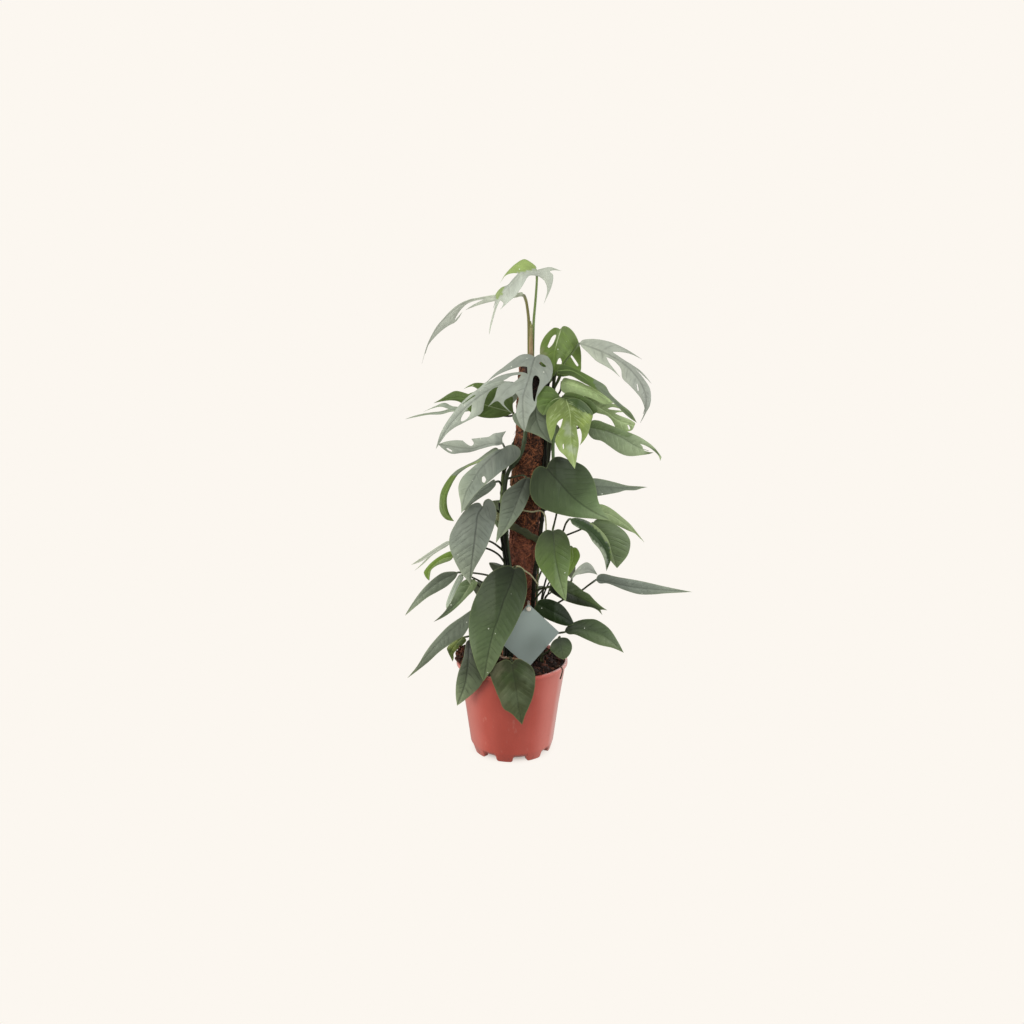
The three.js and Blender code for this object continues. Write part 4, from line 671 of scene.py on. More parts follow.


# Front and side leaves, all lengths as seen from the front. slot: which of the leaf finishes it
# has; tone: the blade's colour, times light; fade: light and shade painted along it, two to four
# values from foot to tip; halves: light and shade painted on its two halves; rib, veining: how pale
# (+) or dark (-) the midrib and the side veins are; quilt: against leafBuild's; lean: how much each
# half goes back a millimetre; patches: [across, up, radius, tone, strength]; areas: [tone, strength,
# outline]; mid: the midrib from foot to tip, across, up and depth; a, b: the edges of its two
# halves, where a third value marks a sharp point; holes: their outlines; stalk: from the blade's
# foot towards its vine, which it meets at the height given with it.
leafRows = {
    "top_split": dict(
        slot="silver", tone="paleSilver", light=1.1, fade=[0.9, 1.1], halves=[0.95, 1.05], rib=0.3,
        veining=0.3, stalkTone="stalkGreen", stalkRadius=[1.9, 1.3],
        areas=[["fresh", 0.9, """-16 579.5, -13.4 578.5, -6 587.4, 5.4 590.6, 20.1 593.8, 27.9 596.6, 30 606,
            14.4 610, 0 605, -9 594"""], ["fresh", 0.8, """-21 565.9, -19.5 574, -9.3 577.1, -11 566.7,
            -18.8 560"""]],
        mid="28 594 -8, 10 588 -14, -2 577 -22, -12 566 -30, -20 550 -37, -27 520 -42",
        a="""28 598, 22 603, 14 606.5, 5 602, -3 595, -9 588, -14 579 1, -8 587.5, 0 590.5, 7 590.5 1, 0 583,
            -5 577.5, -13 574, -19 567, -19 562, -22 551 1, -19 557 1, -23 542, -26 530""",
        b="""35 596, 45 597.5, 58 593 1, 50 594, 44 592.5, 48 588, 46 575, 37 555 1, 41 570, 39 580, 33 586,
            26 588 1, 19 587, 12 576, 4 565, -5 557, -14 549 1, -10 556, -14 560 1, -18 551, -22 539""",
        stalk="28.5 593 -7, 29 585 -5, 27.7 562 -4, 25.6 536.6 -4, 24.9 515 -8, 24.6 500 -13, 24 487 -17"),
    "top_left_long": dict(
        slot="silver", tone="paleSilver", light=0.94, fade=[1.3, 0.7], halves=[1.05, 0.95], rib=-0.4,
        veining=0.3, stalkTone="stalkBrown", stalkRadius=[2.25, 1.6],
        mid="13 565.5 -3, -20 563.8 4, -50 558.8 8, -75 543 12, -95 517 15, -107 486 15",
        a="""12 569, 3 568, -20 566.3, -40 562.8, -50 560.8, -60 556.6, -70 549.8, -80 539.7, -90 527.7,
            -100 508.8""",
        b="""5 563, -10 560.5, -25 558, -40 554, -55 548.5 1, -45 555, -33 561 1, -43 559.3, -52 556, -60 549,
            -66 540, -67.5 536.5 1, -63 541.5, -58 547 1, -62 540, -67 534.5, -72 532, -80 527, -90 518.4,
            -100 506""",
        stalk="""14 565.3 -3, 16.5 559 -3, 18.4 548 -4, 19.6 536.6 -4, 20.1 515 -9, 20.4 500 -14,
            21 487 -18"""),
    "crown_rounded": dict(
        slot="mid_green", tone="leafGreen", light=0.72, fade=[1, 1], rib=1, veining=0.5,
        vine=["right", 456],
        patches=[[35, 498, 8, "brownish", 0.4], [40, 482, 8, "dark", 0.3]],
        holes=["42 506.5, 44 505, 48.5 510, 52 518.5, 50.5 520, 46.5 516.5", """53 486, 54.5 491, 57 493,
            59 489, 58.5 486""", "69.5 494.5, 71 496, 78.5 485.5, 76.5 484"],
        mid="57 526 -18, 53.5 514 -22, 50.5 500 -24, 50 486 -25, 52 472 -26",
        a="54 528, 49 528, 42 522.5, 36.5 515, 33.5 507, 33 497, 34 486, 38 478, 45 473",
        b="60 530, 66 529, 73 522.5, 78.5 512, 81.5 500, 82 488, 81 477, 71 473, 60 471",
        stalk="58 525 -16, 62 513 -8, 61 494 -4, 57 474 -5"),
    "crown_silver": dict(
        slot="silver", tone="silver", light=0.85, fade=[0.8, 1.2], rib=-0.6, veining=-0.4,
        lean=[0.1, 0.1], vine=["front", 478],
        holes=["24 461, 25 469.5, 28 472.5, 32 470, 33 465, 30.5 456, 28.5 447, 27 441.5, 25 446",
            "32 486.5, 34.5 488.5, 40 484, 40 482.5, 36 483"],
        mid="27 494 -38, 24 485 -42, 21.5 474 -48, 17 460 -53, 13 447 -57, 13 430 -60, 15 405 -60",
        a="""20 497.5, 10 496.5, 0 490, -10 482.3, -20 474.8, -31 464 1, -18 472.5, -3 479, 11 483,
            18 482.5 1, 18.5 474.5 1, 10 476.5, -6 474.5, -20 469.5, -33 460 1, -18 465.5, -9 467, 0 472,
            11 473.5 1, 8 469, 1 464, -4 465.5, -12 463, -17.5 457, -21 446, -29 435 1, -18 442, -10 435.5,
            1 426.5 1, -5 432.5, -9.5 438.5, -8 443.5, 0 448, 4.5 451.5 1, 8 445, 6 435, 5 426, 9 415""",
        b="""32 497, 38 496.5, 44 493, 48 484, 48 474, 45 466, 38 459, 33 452, 29.5 446, 29.5 440, 27 432.5,
            21 424, 17.5 412""",
        stalk="27 491 -37, 25 487 -32"),
    "crown_right": dict(
        slot="silver", tone="paleSilver", light=0.85, fade=[1.2, 0.8], halves=[0.95, 1.05], rib=-0.6,
        veining=-0.6, stalkTone="stalkOlive", vine=["right", 456],
        holes=["148.4 462.5, 149.6 462, 151.2 455, 150 454.4"],
        mid="""80 510 -34, 100 503 -40, 115 496.5 -45, 130 488 -50, 145 474.5 -54, 156 458 -57, 160 440 -59,
            154 416 -59""",
        a="""83 513.8, 92 515.2, 103 514.6, 115 512, 127 507.3, 140 500.5, 154 491.5 1, 141 497.5, 130 499.8,
            118.5 500.3 1, 126 495.2, 134 490, 142 485.3, 154 476.8, 166 463 1, 153 475, 143.5 482 1,
            151 475.5, 158 467, 164 457.5, 166 447, 165 437, 161 429, 157 421""",
        b="""83 505.5, 90 499, 100 489.5, 110 484, 120 477.8, 129 470 1, 121 480, 115 487.5, 111.5 494.2 1,
            119 491, 125 485.8, 129.5 479.5, 131.5 469, 140 460.8, 148 452.5, 154 445, 158 436, 158.5 428""",
        stalk="78 508.5 -33, 71 499 -32, 62 487 -30, 57 470 -29, 53 462 -20"),
    "crown_arching": dict(
        slot="dark_green", tone="mid", light=1.25, fade=[0.4, 1.6], halves=[1.15, 0.85], rib=0.1,
        vine=["right", 446],
        patches=[[130, 430, 30, "sage", 0.8]],
        areas=[["greyGreen", 0.8, """95.2 471, 103.8 468, 119 452, 134 436, 125.9 433.5, 112.7 446.4,
            99.7 457.1"""]],
        mid="54 478 -39, 70 478 -43, 90 466.5 -44, 110 452.5 -48, 130 434.5 -50, 150 416 -51",
        a="56 484.5, 63 485, 72 481.8, 85 475.5, 100 467.3, 111 460.5, 117.5 450.5, 130 438.8, 142 429",
        b="54 475, 61 473.2, 72 471, 85 463.8, 100 455.8, 114 446.5, 127 434.5, 139 423.5",
        stalk="53 476.5 -38, 51 469 -32"),
    "upper_right_pale": dict(
        slot="fresh_green", tone="freshPale", light=1.6, fade=[0.75, 1.25], halves=[1.15, 0.85], rib=0.5,
        veining=0.5, vine=["right", 442],
        mid="59 465 -26, 72 461 -31, 90 456 -35, 105 449.5 -38, 121 440 -40",
        a="62 469.5, 70 468, 80 465.3, 90 460.5, 101 456.3, 113 448",
        b="58 459, 61 452.3, 72 450, 85 448.3, 98 444, 110 438.5",
        stalk="59 464 -26, 58 455 -20"),
    "upper_right_windowed": dict(
        slot="fresh_green", tone="freshPale", light=1.05, fade=[0.6, 1.4], rib=0.6, veining=0.5,
        vine=["right", 430],
        holes=["114.5 433, 120 434.8, 128 433.2, 133 430.6, 125 431.2, 118 432", """138.5 413.2,
            140.2 413.2, 142.2 409, 140.6 408"""],
        mid="84 446 -22, 100 436.5 -26, 113 429.3 -29, 126 420 -32, 147 412.5 -32",
        a="""90 451, 100 447, 111 441.5, 124 438, 133 433.5, 137.5 429 1, 126 428.5, 124 427 1, 131 424,
            138 421.5, 144 418.5, 147.8 415.5""",
        b="""86 440, 93 433, 100 428.5, 112 425.2, 118 421, 121.5 416, 124 411 1, 131 408, 138 405.5,
            144.5 407.5""",
        stalk="83 446 -21, 70 446 -14, 58 442 -10"),
    "upper_right_dark": dict(
        slot="dark_green", tone="mid", light=0.75, fade=[1.1, 0.9], rib=-0.6, veining=-0.4,
        lean=[0.1, 0.05], vine=["right", 424],
        mid="61 448 -36, 75 446 -40, 90 438 -44, 98 426.5 -44",
        a="64 452, 72 452.2, 84 448.5, 95 442, 101 435.5, 102.5 430",
        b="63 443, 72 439, 84 431, 92 425",
        stalk="61 447 -36, 56 443 -24"),
    "upper_right_fingered": dict(
        slot="fresh_green", tone="fresh", light=0.72, fade=[0.6, 1.4], halves=[1.05, 0.95], rib=0.5,
        veining=0.5, vine=["right", 412],
        patches=[[67, 408, 8, "paleSilver", 0.4], [72, 384, 7, "paleSilver", 0.4], [88, 420, 9, "lime", 0.4]],
        areas=[["dark", 0.85, """58.3 449.2, 68.4 455, 86.7 449, 101 438, 103.3 428.9, 97.3 424.8, 85 428.9,
            70.6 437.1, 60.4 445.2"""]],
        holes=["61 388.5, 62 391, 62.8 386, 61.8 384"],
        mid="65 443 -50, 69 430 -56, 70.5 415 -61, 71 398 -65, 73 380 -67, 76 360 -67",
        a="""60 446, 52 441, 44 433, 41 424, 42 411, 44.5 401, 47 393.5 1, 50.5 402, 52.5 411, 56 418,
            61 421 1, 59 413, 56 406, 53 400, 52 394, 54 388, 58 381.5, 64 376, 69.5 369""",
        b="""72 446, 82 443.5, 91 436, 97 427, 94.5 415, 91.5 403, 87 395, 82 389 1, 83.8 396, 83.6 404,
            81 410, 77.5 413 1, 78.5 404, 80 396, 80.5 388, 79 378, 77.5 368""",
        stalk="64.5 443 -49, 61 441 -40, 54 434 -24"),
    "upper_middle_veined": dict(
        slot="mid_green", tone="mid", light=1.3, fade=[0.5, 1.6], halves=[0.95, 1.05], rib=0.8,
        veining=0.9, lean=[0.05, 0.05], vine=["right", 436],
        mid="58 446 -40, 50 444 -43, 43 438 -44, 37 425 -44",
        a="54 452, 47 458.5, 39 459.5, 32 452, 29 442, 31 432",
        b="57 441, 51 437.5, 48 432, 43 427",
        stalk="57.5 446 -39, 53 444 -30"),
    "upper_middle_grey": dict(
        slot="grey_green", tone="greyGreen", fade=[0.8, 1.2], halves=[1.05, 0.95], rib=-0.5,
        veining=-0.4, lean=[0.02, 0.05], vine=["front", 436],
        mid="28 438 -32, 29 425 -34, 33 411 -36, 39 401 -37, 48 391 -37",
        a="22 436, 11 430.5, 1 425.5, 2.5 417.5, 8 411.8, 15 406.5, 24 403.5, 34 399, 42 394",
        b="37 440, 41 430, 42 418, 44 407, 46.8 398",
        stalk="28 437 -32, 27 440 -29"),
    "right_grey_long": dict(
        slot="grey_green", tone="sage", light=1.65, fade=[0.5, 1.5], halves=[0.95, 1.05], rib=-0.3,
        vine=["right", 390],
        patches=[[171, 380, 9, "dark", 0.85]],
        areas=[["mid", 0.6, """90 425, 113 422, 131 413, 150 404, 140 398, 131 401, 118 405, 107 407.6,
            90 409.7"""]],
        mid="93 411 -38, 112 406.5 -42, 132 398 -46, 150 387.5 -48, 171 380 -48",
        a="""96 418.5, 104 418.8, 112 415.8, 130 408.8, 150 400.8, 160 395.2, 170 387.8, 177 379.8,
            180.8 374.5 1, 179.5 370 1, 176.5 377, 168 384.5, 160 388.8, 154.5 390.5 1, 157.6 387,
            158.6 383.4, 164.5 380.8""",
        b="92 403, 98 396.5, 108 394, 117 388, 127 381, 136 376.8, 145 375.6, 158 377, 166 378.3",
        stalk="92 411 -37, 80 410 -28, 62 402 -18"),
    "left_silver_long": dict(
        slot="silver", tone="silver", light=1.25, fade=[1.1, 0.9], halves=[0.95, 1.05], rib=-0.4,
        veining=-0.3, lean=[0.1, 0.1], vine=["front", 456],
        holes=["-61 437, -55 442, -46 448.7, -44 448.3, -50 444.3", """-48 437.8, -53.5 433, -58 427,
            -61 421.5, -61 417.8, -56 419.3, -51.5 424, -49 430"""],
        mid="""-8 464 -18, -25 456.5 -19, -40 446.5 -21, -53 436.2 -23, -65 424 -26, -78 408 -29,
            -92 384 -31""",
        a="-14 468.5, -30 465, -40 457, -50 449.8, -60 440.5, -70 428.5, -80 414.5, -87 401",
        b="""-10 460, -20 458.3, -27 453, -31 446, -33.5 438, -34.5 431 1, -38 426.5, -45 422.5, -52 419,
            -60 415, -70 409.6, -80 401""",
        stalk="-7.5 464 -18, 3 461.5 -25"),
    "left_dark_split": dict(
        slot="dark_green", tone="mid", light=0.9, fade=[1.2, 0.8], halves=[1.05, 0.95], rib=0.5,
        vine=["left", 415],
        mid="2 428 2, -20 434 2, -40 440 4, -65 446 6, -94 439.5 8",
        a="""1 436, 1 446, -4 451, -10 455, -18 458, -30 462.5, -42 463.8, -50 461.3, -57.5 456.5 1,
            -48 459.5, -40 455.7 1, -52 450.5 1, -66 454.2, -75 451, -85 444.6""",
        b="-8 424, -20 421.8, -35 422.4, -48 427.5, -61 440, -72 442.8, -84 441.6",
        stalk="2 427.5 1, 1.5 425 7, 4 421 14"),
    "left_thin_forked": dict(
        slot="grey_green", tone="steel", light=1.35, fade=[1.05, 0.95], rib=0.3, veining=0.2,
        vine=["back", 404],
        mid="-44 432 18, -66 431.8 18, -85 428.3 18, -105 426.9 18, -128 420.5 18",
        a="""-52 434.5, -70 435.8, -81 440, -92 436, -107 428.8 1, -95 433.3, -85 435.3, -76 432.6 1, -85 430,
            -100 428.1, -115 425""",
        b="-55 429.5, -72 429.4, -85 426.2, -100 425.7, -115 423",
        stalk="-43 431.5 18, -30 428 22, -6 424 30, 8 424 30"),
    "left_silver_flat": dict(
        slot="silver", tone="silver", light=0.95, fade=[0.9, 1.1], halves=[1.05, 0.95], rib=-0.3,
        veining=-0.3, vine=["left", 368],
        holes=["-79.5 385.8, -77 385.2, -72 382, -74 381.2, -78 383.5"],
        mid="-11 391 -22, -28 390 -26, -48 384.6 -32, -68 386.2 -36, -89 390 -38",
        a="""-11.5 398, -7 406 1, -15 404.2, -22 403, -28 399.3, -40 397.7, -49 396.6 1, -46 391.5, -49 388,
            -54 390, -59.5 394.6 1, -68 395, -79 393.6""",
        b="-16 388.8, -24 388, -38 384.2, -50 380.6, -61 379.5, -73 378.5, -82 383.5",
        stalk="-11 390.5 -22, -9 386 -20"),
    "left_curving": dict(
        slot="mid_green", tone="leafGreen", light=0.85, fade=[1.2, 0.85], halves=[0.9, 1.1], rib=0.5,
        veining=0.3, lean=[0.9, 0.9], vine=["left", 363],
        areas=[["greyGreen", 1, """-8 396, -8 368, -40 354, -62 347, -69.5 352.5, -76 352, -62 370,
            -30 392"""]],
        mid="""-15 382.5 -15, -35 371.5 -17, -52 364 -19, -66 356 -22, -76 342 -25, -83 325 -27,
            -83.5 310 -27, -78 299.5 -26, -71 295 -25""",
        a="""-20 386, -30 380.3, -42 371.3, -55 364.8, -68 357.6, -78 347, -86 333, -88.5 320, -88 307,
            -81 297.5""",
        b="-22 377.5, -38 368.5, -52 362.8, -64 354.5, -70 346.5, -75 337, -79 326, -79.3 315, -77 305",
        stalk="-14 382 -15, -11.5 378 -15"),
    "left_grey_ovate": dict(
        slot="grey_green", tone="steel", light=0.9, fade=[0.55, 1.45], halves=[1.1, 0.9], rib=-0.6,
        veining=-0.5, vine=["left", 354],
        holes=["-36.5 349.5, -34 351, -31.6 347, -33.5 343, -36.2 344.5"],
        mid="-12 384 -32, -22 376 -38, -37 361 -45, -47 346 -51, -56 330 -55, -62 305 -57",
        a="-20 383, -34 373, -50 359.8, -60 350, -64.8 340, -64.8 330, -62.5 317",
        b="""-7 388, 1 389.5, 8 386, 10.5 380, 8 373.5, 0 366, -12 357.5, -24 347.5, -38 335.5, -50 322,
            -57 312""",
        stalk="-12 383 -31, -12 379 -28"),
    "left_dark_strip": dict(
        slot="dark_green", tone="steel", light=1.1, fade=[1, 1], rib=-0.3, veining=-0.3, lean=[0.6, 0.6],
        vine=["left", 341],
        mid="-20 344 -26, -30 337 -28, -40 330 -30, -50 321.5 -32, -61.5 307.5 -34",
        a="-22 347, -29 342.5, -40 335.5, -50 328, -57 318",
        b="-20 339.5, -28 331, -38 324.5, -48 317.3, -56 309.8",
        stalk="-19.5 344 -26, -16 344.6 -24"),
    "left_grey_large": dict(
        slot="grey_green", tone="steel", light=0.8, fade=[0.5, 1.5], rib=-1, veining=-0.8,
        vine=["left", 309],
        mid="-36 313 -44, -42 303 -48, -44 288 -52, -47 262 -57, -50 240 -60, -52 215 -60",
        a="-40 318, -48 316.5, -58 308, -68 294, -76 278, -77 264, -73 250, -64 231, -57 222",
        b="-34 320, -28 323, -21.5 317, -18.8 305, -21 292, -25.5 278, -32 261, -40 246, -47.5 232",
        stalk="-35.5 313 -43, -30 313 -36, -22 311 -25"),
    "left_lime_curl": dict(
        slot="lime", tone="leafGreen", light=1.2, fade=[1, 1], rib=0.4, veining=0.3, vine=["left", 246],
        areas=[["freshPale", 0.8, """-74 250, -84 247, -92 242.5, -98 237.5, -101.5 230, -104.5 218, -96 218,
            -96 232, -88 238, -74 243"""]],
        mid="""-72 250.5 -38, -82 248.5 -40, -92 243.8 -41, -100 236.5 -42, -104.3 229 -42,
            -102.6 219.5 -42""",
        a="-76 257, -89 251, -100.6 242, -108.6 232, -108.5 227, -105.6 222",
        b="-76 245.5, -84 242.4, -93 238.8, -99.6 233.5, -101.6 227",
        stalk="-71 249 -38, -52 262 -36, -31 260.5 -30, -17 253 -25"),
    "left_thin_fingers": dict(
        slot="grey_green", tone="paleSilver", light=1.2, fade=[0.8, 1.2], rib=0.2, veining=0.2,
        vine=["left", 262],
        mid="-74 269 -32, -88 261.5 -34, -100 253.5 -34, -112 245.9 -34, -125 239.5 -34",
        a="-80 270, -90 264, -102 256, -114 247.6",
        b="""-80 263.5, -90 257.5, -99 251.3, -105 245.3, -112 239, -121 232 1, -111 242, -104.5 249 1,
            -113 243.8""",
        stalk="-73 269 -32, -50 273 -34, -27 269.5 -28"),
    "lower_left_upper": dict(
        slot="grey_green", tone="greyGreen", fade=[0.65, 1.35], halves=[0.9, 1.1], rib=-0.3,
        veining=-0.4, vine=["left", 224],
        mid="-67 230 -22, -85 221.5 -24, -103 208.5 -28, -120 192.5 -30, -134 174 -30",
        a="-73 231.3, -85 230, -95 224, -107 213, -118 199.5, -128 184.5",
        b="-70 223, -80 213, -92 205.5, -105 198, -118 187.5, -128 179",
        stalk="-66 230 -22, -50 229.5 -22, -30 226.3 -22"),
    "lower_left_strip": dict(
        slot="grey_green", tone="steel", light=1.5, fade=[0.85, 1.15], rib=0.2, veining=0.2,
        vine=["left", 205],
        mid="-63 227 -33, -69.5 213.5 -35, -75.5 199.5 -36, -81 180 -36",
        a="-66 226.5, -72.8 214, -79 199.5, -82.3 188",
        b="-60 223, -66 212, -72.3 199, -78 189",
        stalk="-62.5 227 -33, -55 226 -30, -40 219 -28, -22 210 -26"),
    "lower_left_drip_tip": dict(
        slot="mid_green", tone="deep", light=1.5, fade=[1.2, 1.2, 0.6, 0.15], halves=[0.7, 1.3], rib=0.5,
        vine=["left", 192],
        mid="-48 221 -42, -56 206.5 -44, -66 192.5 -46, -78 181 -48, -98 166 -48",
        a="-56 221.5, -64 216, -70 205, -75 194, -82.5 181.8, -90 173.3",
        b="-43 217, -47 208, -55 199.5, -62 192, -68.5 185.5, -77 178, -87 171.3",
        stalk="-47.5 220.5 -41, -42 213 -36, -30 202 -30"),
    "lower_left_long": dict(
        slot="grey_green", tone="greyGreen", light=0.85, fade=[0.65, 1.35], halves=[1.05, 0.95],
        rib=-0.3, veining=-0.4, vine=["left", 175],
        mid="-46 184 -34, -65 165.5 -36, -85 146.5 -40, -108 120 -44, -133 91 -44",
        a="-51 181.5, -62 173.5, -80 160.3, -97 142, -108 127.5, -120 107.5",
        b="-48 172, -60 149, -70 142, -80 135, -92 126, -105 113.5, -120 101",
        stalk="-45 184 -33, -36 182 -28, -22 178 -24"),
    "old_over_rim": dict(
        slot="lime", tone="lime", light=0.6, fade=[1.1, 0.9], rib=0.2, veining=0.3, vine=["left", 146],
        patches=[[-64, 140, 9, "dark", 0.7], [-77, 118, 8, "dark", 0.6], [-80, 128, 5, "dark", 0.7]],
        mid="-60 146 -10, -68 139 -8, -74.5 131 -8, -77.5 123.5 -8, -75 113.5 -8",
        a="-65 147, -73 141, -80 134.5, -82 130.5, -79.8 124, -77 118",
        b="-57.5 141, -63 134.5, -69 129.5, -73.4 124, -73.6 118",
        stalk="-59 146 -10, -42 149 -14, -22 148 -20"),
    "middle_grey_green": dict(
        slot="grey_green", tone="greyGreen", light=0.95, fade=[0.2, 0.8, 1.7], halves=[0.85, 1.15],
        rib=-0.6, veining=-0.7, vine=["front", 352],
        mid="18 349 -36, 10 330 -39, 3 312 -44, -5 293 -49, -20 267 -53",
        a="12 347.5, 3 341, -6 334.5, -12 326, -14.5 312, -16 297, -18.5 280",
        b="22 349, 23.5 340, 20.5 325, 14 310, 4 295.5, -6 283, -14 275",
        stalk="18 348.5 -36, 14 352 -32"),
    "middle_dark_large": dict(
        slot="dark_green", tone="deep", light=1.55, fade=[0.2, 0.55, 2], halves=[0.9, 1.1], rib=-0.7,
        veining=-0.15, quilt=0.5, vine=["right", 340],
        mid="42 361 -42, 55 346 -50, 68 331.5 -56, 82 318.5 -60, 100 306.5 -62, 121 296 -62",
        a="44 366.5, 50 373.5, 58 375, 68 371.5, 80 367.5, 90 361, 98 349, 102.5 335, 105.5 320, 112 307",
        b="""34 363.5, 27 358.5, 23 348, 21.5 335, 24 324.5, 30 316, 38 310.5, 50 306, 62 302.7, 76 300,
            90 298.8, 106 297.5""",
        stalk="42 361 -41, 42 357 -34"),
    "right_grey_blade": dict(
        slot="grey_green", tone="greyGreen", light=0.95, fade=[0.9, 1.1], halves=[1.1, 0.9], rib=-0.3,
        veining=-0.3, vine=["right", 328],
        mid="88 338 -34, 104 338 -38, 120 337.2 -40, 140 336.8 -40, 165 337.5 -40",
        a="92 347, 100 348.5, 112 346.7, 125 343.5, 140 339.6, 155 338.5",
        b="93 328, 104 326.6, 112 327.6, 120 329, 130 331, 138 333.4, 150 333.6, 158 336",
        stalk="87 338 -33, 72 340 -28, 56 338 -20"),
    "right_light_tip": dict(
        slot="mid_green", tone="freshPale", light=0.9, fade=[0.8, 1.2], rib=0.5, veining=0.3,
        vine=["right", 312],
        mid="100 306 -48, 118 303.5 -50, 136 293 -52, 150 281.5 -54, 163 268.5 -54",
        a="104 314.5, 108 316.3, 115 314.3, 124 309, 135 300, 145 291.3, 153 281.5",
        b="104 299, 112 296, 122 293.5, 134 287.3, 143 283, 151 279.5, 157 274",
        stalk="99 306 -47, 84 310 -38, 64 312 -26"),
    "right_green": dict(
        slot="mid_green", tone="sage", light=1.15, fade=[0.55, 1.45], halves=[0.75, 1.25], rib=-0.4,
        veining=-0.5, vine=["right", 266],
        patches=[[118, 262, 60, "mid", 0.45]],
        mid="99 293 -58, 109 283.5 -62, 117 271 -66, 123 257 -68, 130 235.5 -68",
        a="104 297.5, 112 296.5, 122 294, 134 286, 141 279, 145.5 270, 145 259, 141 249",
        b="97 286, 102 276, 109 264, 117 252, 123.5 243",
        stalk="98.5 292.5 -57, 85 285 -46, 66 277 -32"),
    "right_dark_narrow": dict(
        slot="dark_green", tone="steel", light=0.95, fade=[0.9, 1.1], halves=[0.5, 1.4], rib=-0.3,
        veining=-0.3, vine=["right", 250],
        areas=[["dark", 0.85, """66 300, 74 300.5, 93.7 292, 107.2 281, 119.5 263.5, 124 246, 122 230,
            116 230, 118.5 246, 114.5 257.4, 102 270, 90 280, 78 289, 66 295"""], ["fresh", 0.4, """95 298,
            112 284, 124 265, 126 246, 121.8 246, 120.3 262, 110 278, 95 292.5"""]],
        mid="71 298 -64, 84 290.5 -68, 98 280.5 -73, 110 267 -77, 117.5 251 -79, 117 232 -79",
        a="79 299.3, 90 296.5, 103 289, 114 278, 121 264, 122.5 248",
        b="74 291.5, 83 285.5, 92 281, 99 269.5, 108 259, 114 246.5",
        stalk="70.5 298 -63, 66 292 -54, 62 281 -44, 50 264 -31"),
    "middle_right_green": dict(
        slot="mid_green", tone="mid", fade=[0.25, 1.75], rib=-0.5, veining=-0.3, quilt=0.6,
        vine=["right", 322],
        mid="50 283 -54, 51.5 270 -60, 53 252 -66, 57 230 -70, 62 210 -72, 67 193 -72",
        a="42 284, 34.5 277, 29 263, 29 248, 34 236, 43 222.5, 54 207",
        b="58 285, 66 279.5, 71 268, 72.3 252, 71 238, 69 222, 68.3 206",
        stalk="50 284 -53, 52.3 294 -46, 54.6 305 -38, 55.5 315 -30, 52 322 -22"),
    "middle_right_behind": dict(
        slot="dark_green", tone="leafGreen", rib=0.3, veining=0.3, lean=[0.05, 0.05],
        vine=["right", 240],
        mid="74 262 -52, 75 248 -54, 71 235 -56, 66 221 -56",
        a="68 258, 65.5 245, 65 232",
        b="80 261, 84 252, 81 243, 74 231",
        stalk="74 262.5 -51, 66 262 -42, 50 254 -28"),
    "lower_right_small_pale": dict(
        slot="grey_green", tone="paleSilver", fade=[1.35, 0.65], rib=0.2, veining=0.2,
        vine=["right", 211],
        mid="74.5 223.5 -50, 84 231.5 -52, 95 233.5 -54, 106 227 -54",
        a="77.5 230.5, 84 238.5, 92 243, 98.5 239.5, 103 232.5",
        b="79 226.5, 86 228, 95 229.6, 101 228.6",
        stalk="74.3 222.5 -50, 73 218 -46, 62 213 -38, 48 212 -28"),
    "lower_right_long": dict(
        slot="grey_green", tone="steel", light=0.85, fade=[0.65, 1.35], halves=[0.95, 1.05], rib=-0.4,
        veining=-0.4, vine=["right", 176],
        mid="104 220.5 -48, 125 216.5 -52, 150 211 -56, 185 207.5 -60, 224 205 -62",
        a="107 226.5, 114 228.3, 130 224.5, 160 219, 190 212, 210 207.7",
        b="109 216, 120 215.5, 140 207.3, 158 202, 175 201.7, 190 203, 208 204",
        stalk="103.5 220 -47, 95 213.5 -46, 86 206.5 -42, 66 196 -34"),
    "lower_right_twin_tip": dict(
        slot="dark_green", tone="mid", light=0.55, fade=[0.2, 0.45, 1.1], halves=[1.45, 0.45], rib=-0.4,
        veining=-0.3, vine=["right", 198],
        mid="46.5 211 -54, 62 206.5 -58, 80 199 -62, 98 190 -65, 108 184.8 -66, 119 181 -66",
        a="48.5 217, 54 219.8, 62 220.2, 72 219, 80 213.5, 88 206.7, 96 202, 103 194.3, 111 186.8",
        b="""47 206, 54 200.5, 60.5 196.5, 67 193, 80 188.7, 92 186, 100 184.5, 107 181, 113 175 1,
            110.5 181.5 1, 114 181.8""",
        stalk="45.5 211 -53, 42 210 -44, 38 207 -32"),
    "lower_right_dark": dict(
        slot="dark_green", tone="dark", light=0.48, fade=[1.35, 0.65], halves=[0.8, 1.1], rib=-0.3,
        veining=-0.3, vine=["right", 163],
        mid="31 190 -30, 42 184.5 -33, 55 177.5 -36, 67 170.5 -38, 78 163 -38",
        a="34 194.5, 45 195.8, 55 192.5, 63 187.5, 70 179, 75 170",
        b="28 184, 32 178, 40 171.5, 50 166.5, 62 162, 71 160.5",
        stalk="31 189.5 -29, 32 184 -24"),
    "lower_right_green": dict(
        slot="mid_green", tone="deep", light=1.1, fade=[0.3, 1.7], halves=[0.75, 1.25], rib=-0.2,
        veining=-0.2, quilt=0.6, vine=["right", 146],
        mid="66 152.5 -30, 82 156.5 -38, 100 154 -45, 120 144 -50, 141 125 -52",
        a="68 158.5, 75 164, 85 168.2, 96 169.7, 107 168, 122 157, 133 140.5",
        b="72 149.5, 80 149, 95 142, 110 135.5, 125 132, 134 128.5",
        stalk="65.5 152.3 -30, 60 151.5 -26, 44 148 -20"),
    "lower_right_small": dict(
        slot="mid_green", tone="deep", light=0.7, fade=[0.3, 1.7], halves=[0.95, 1.05], rib=-0.2,
        vine=["right", 122],
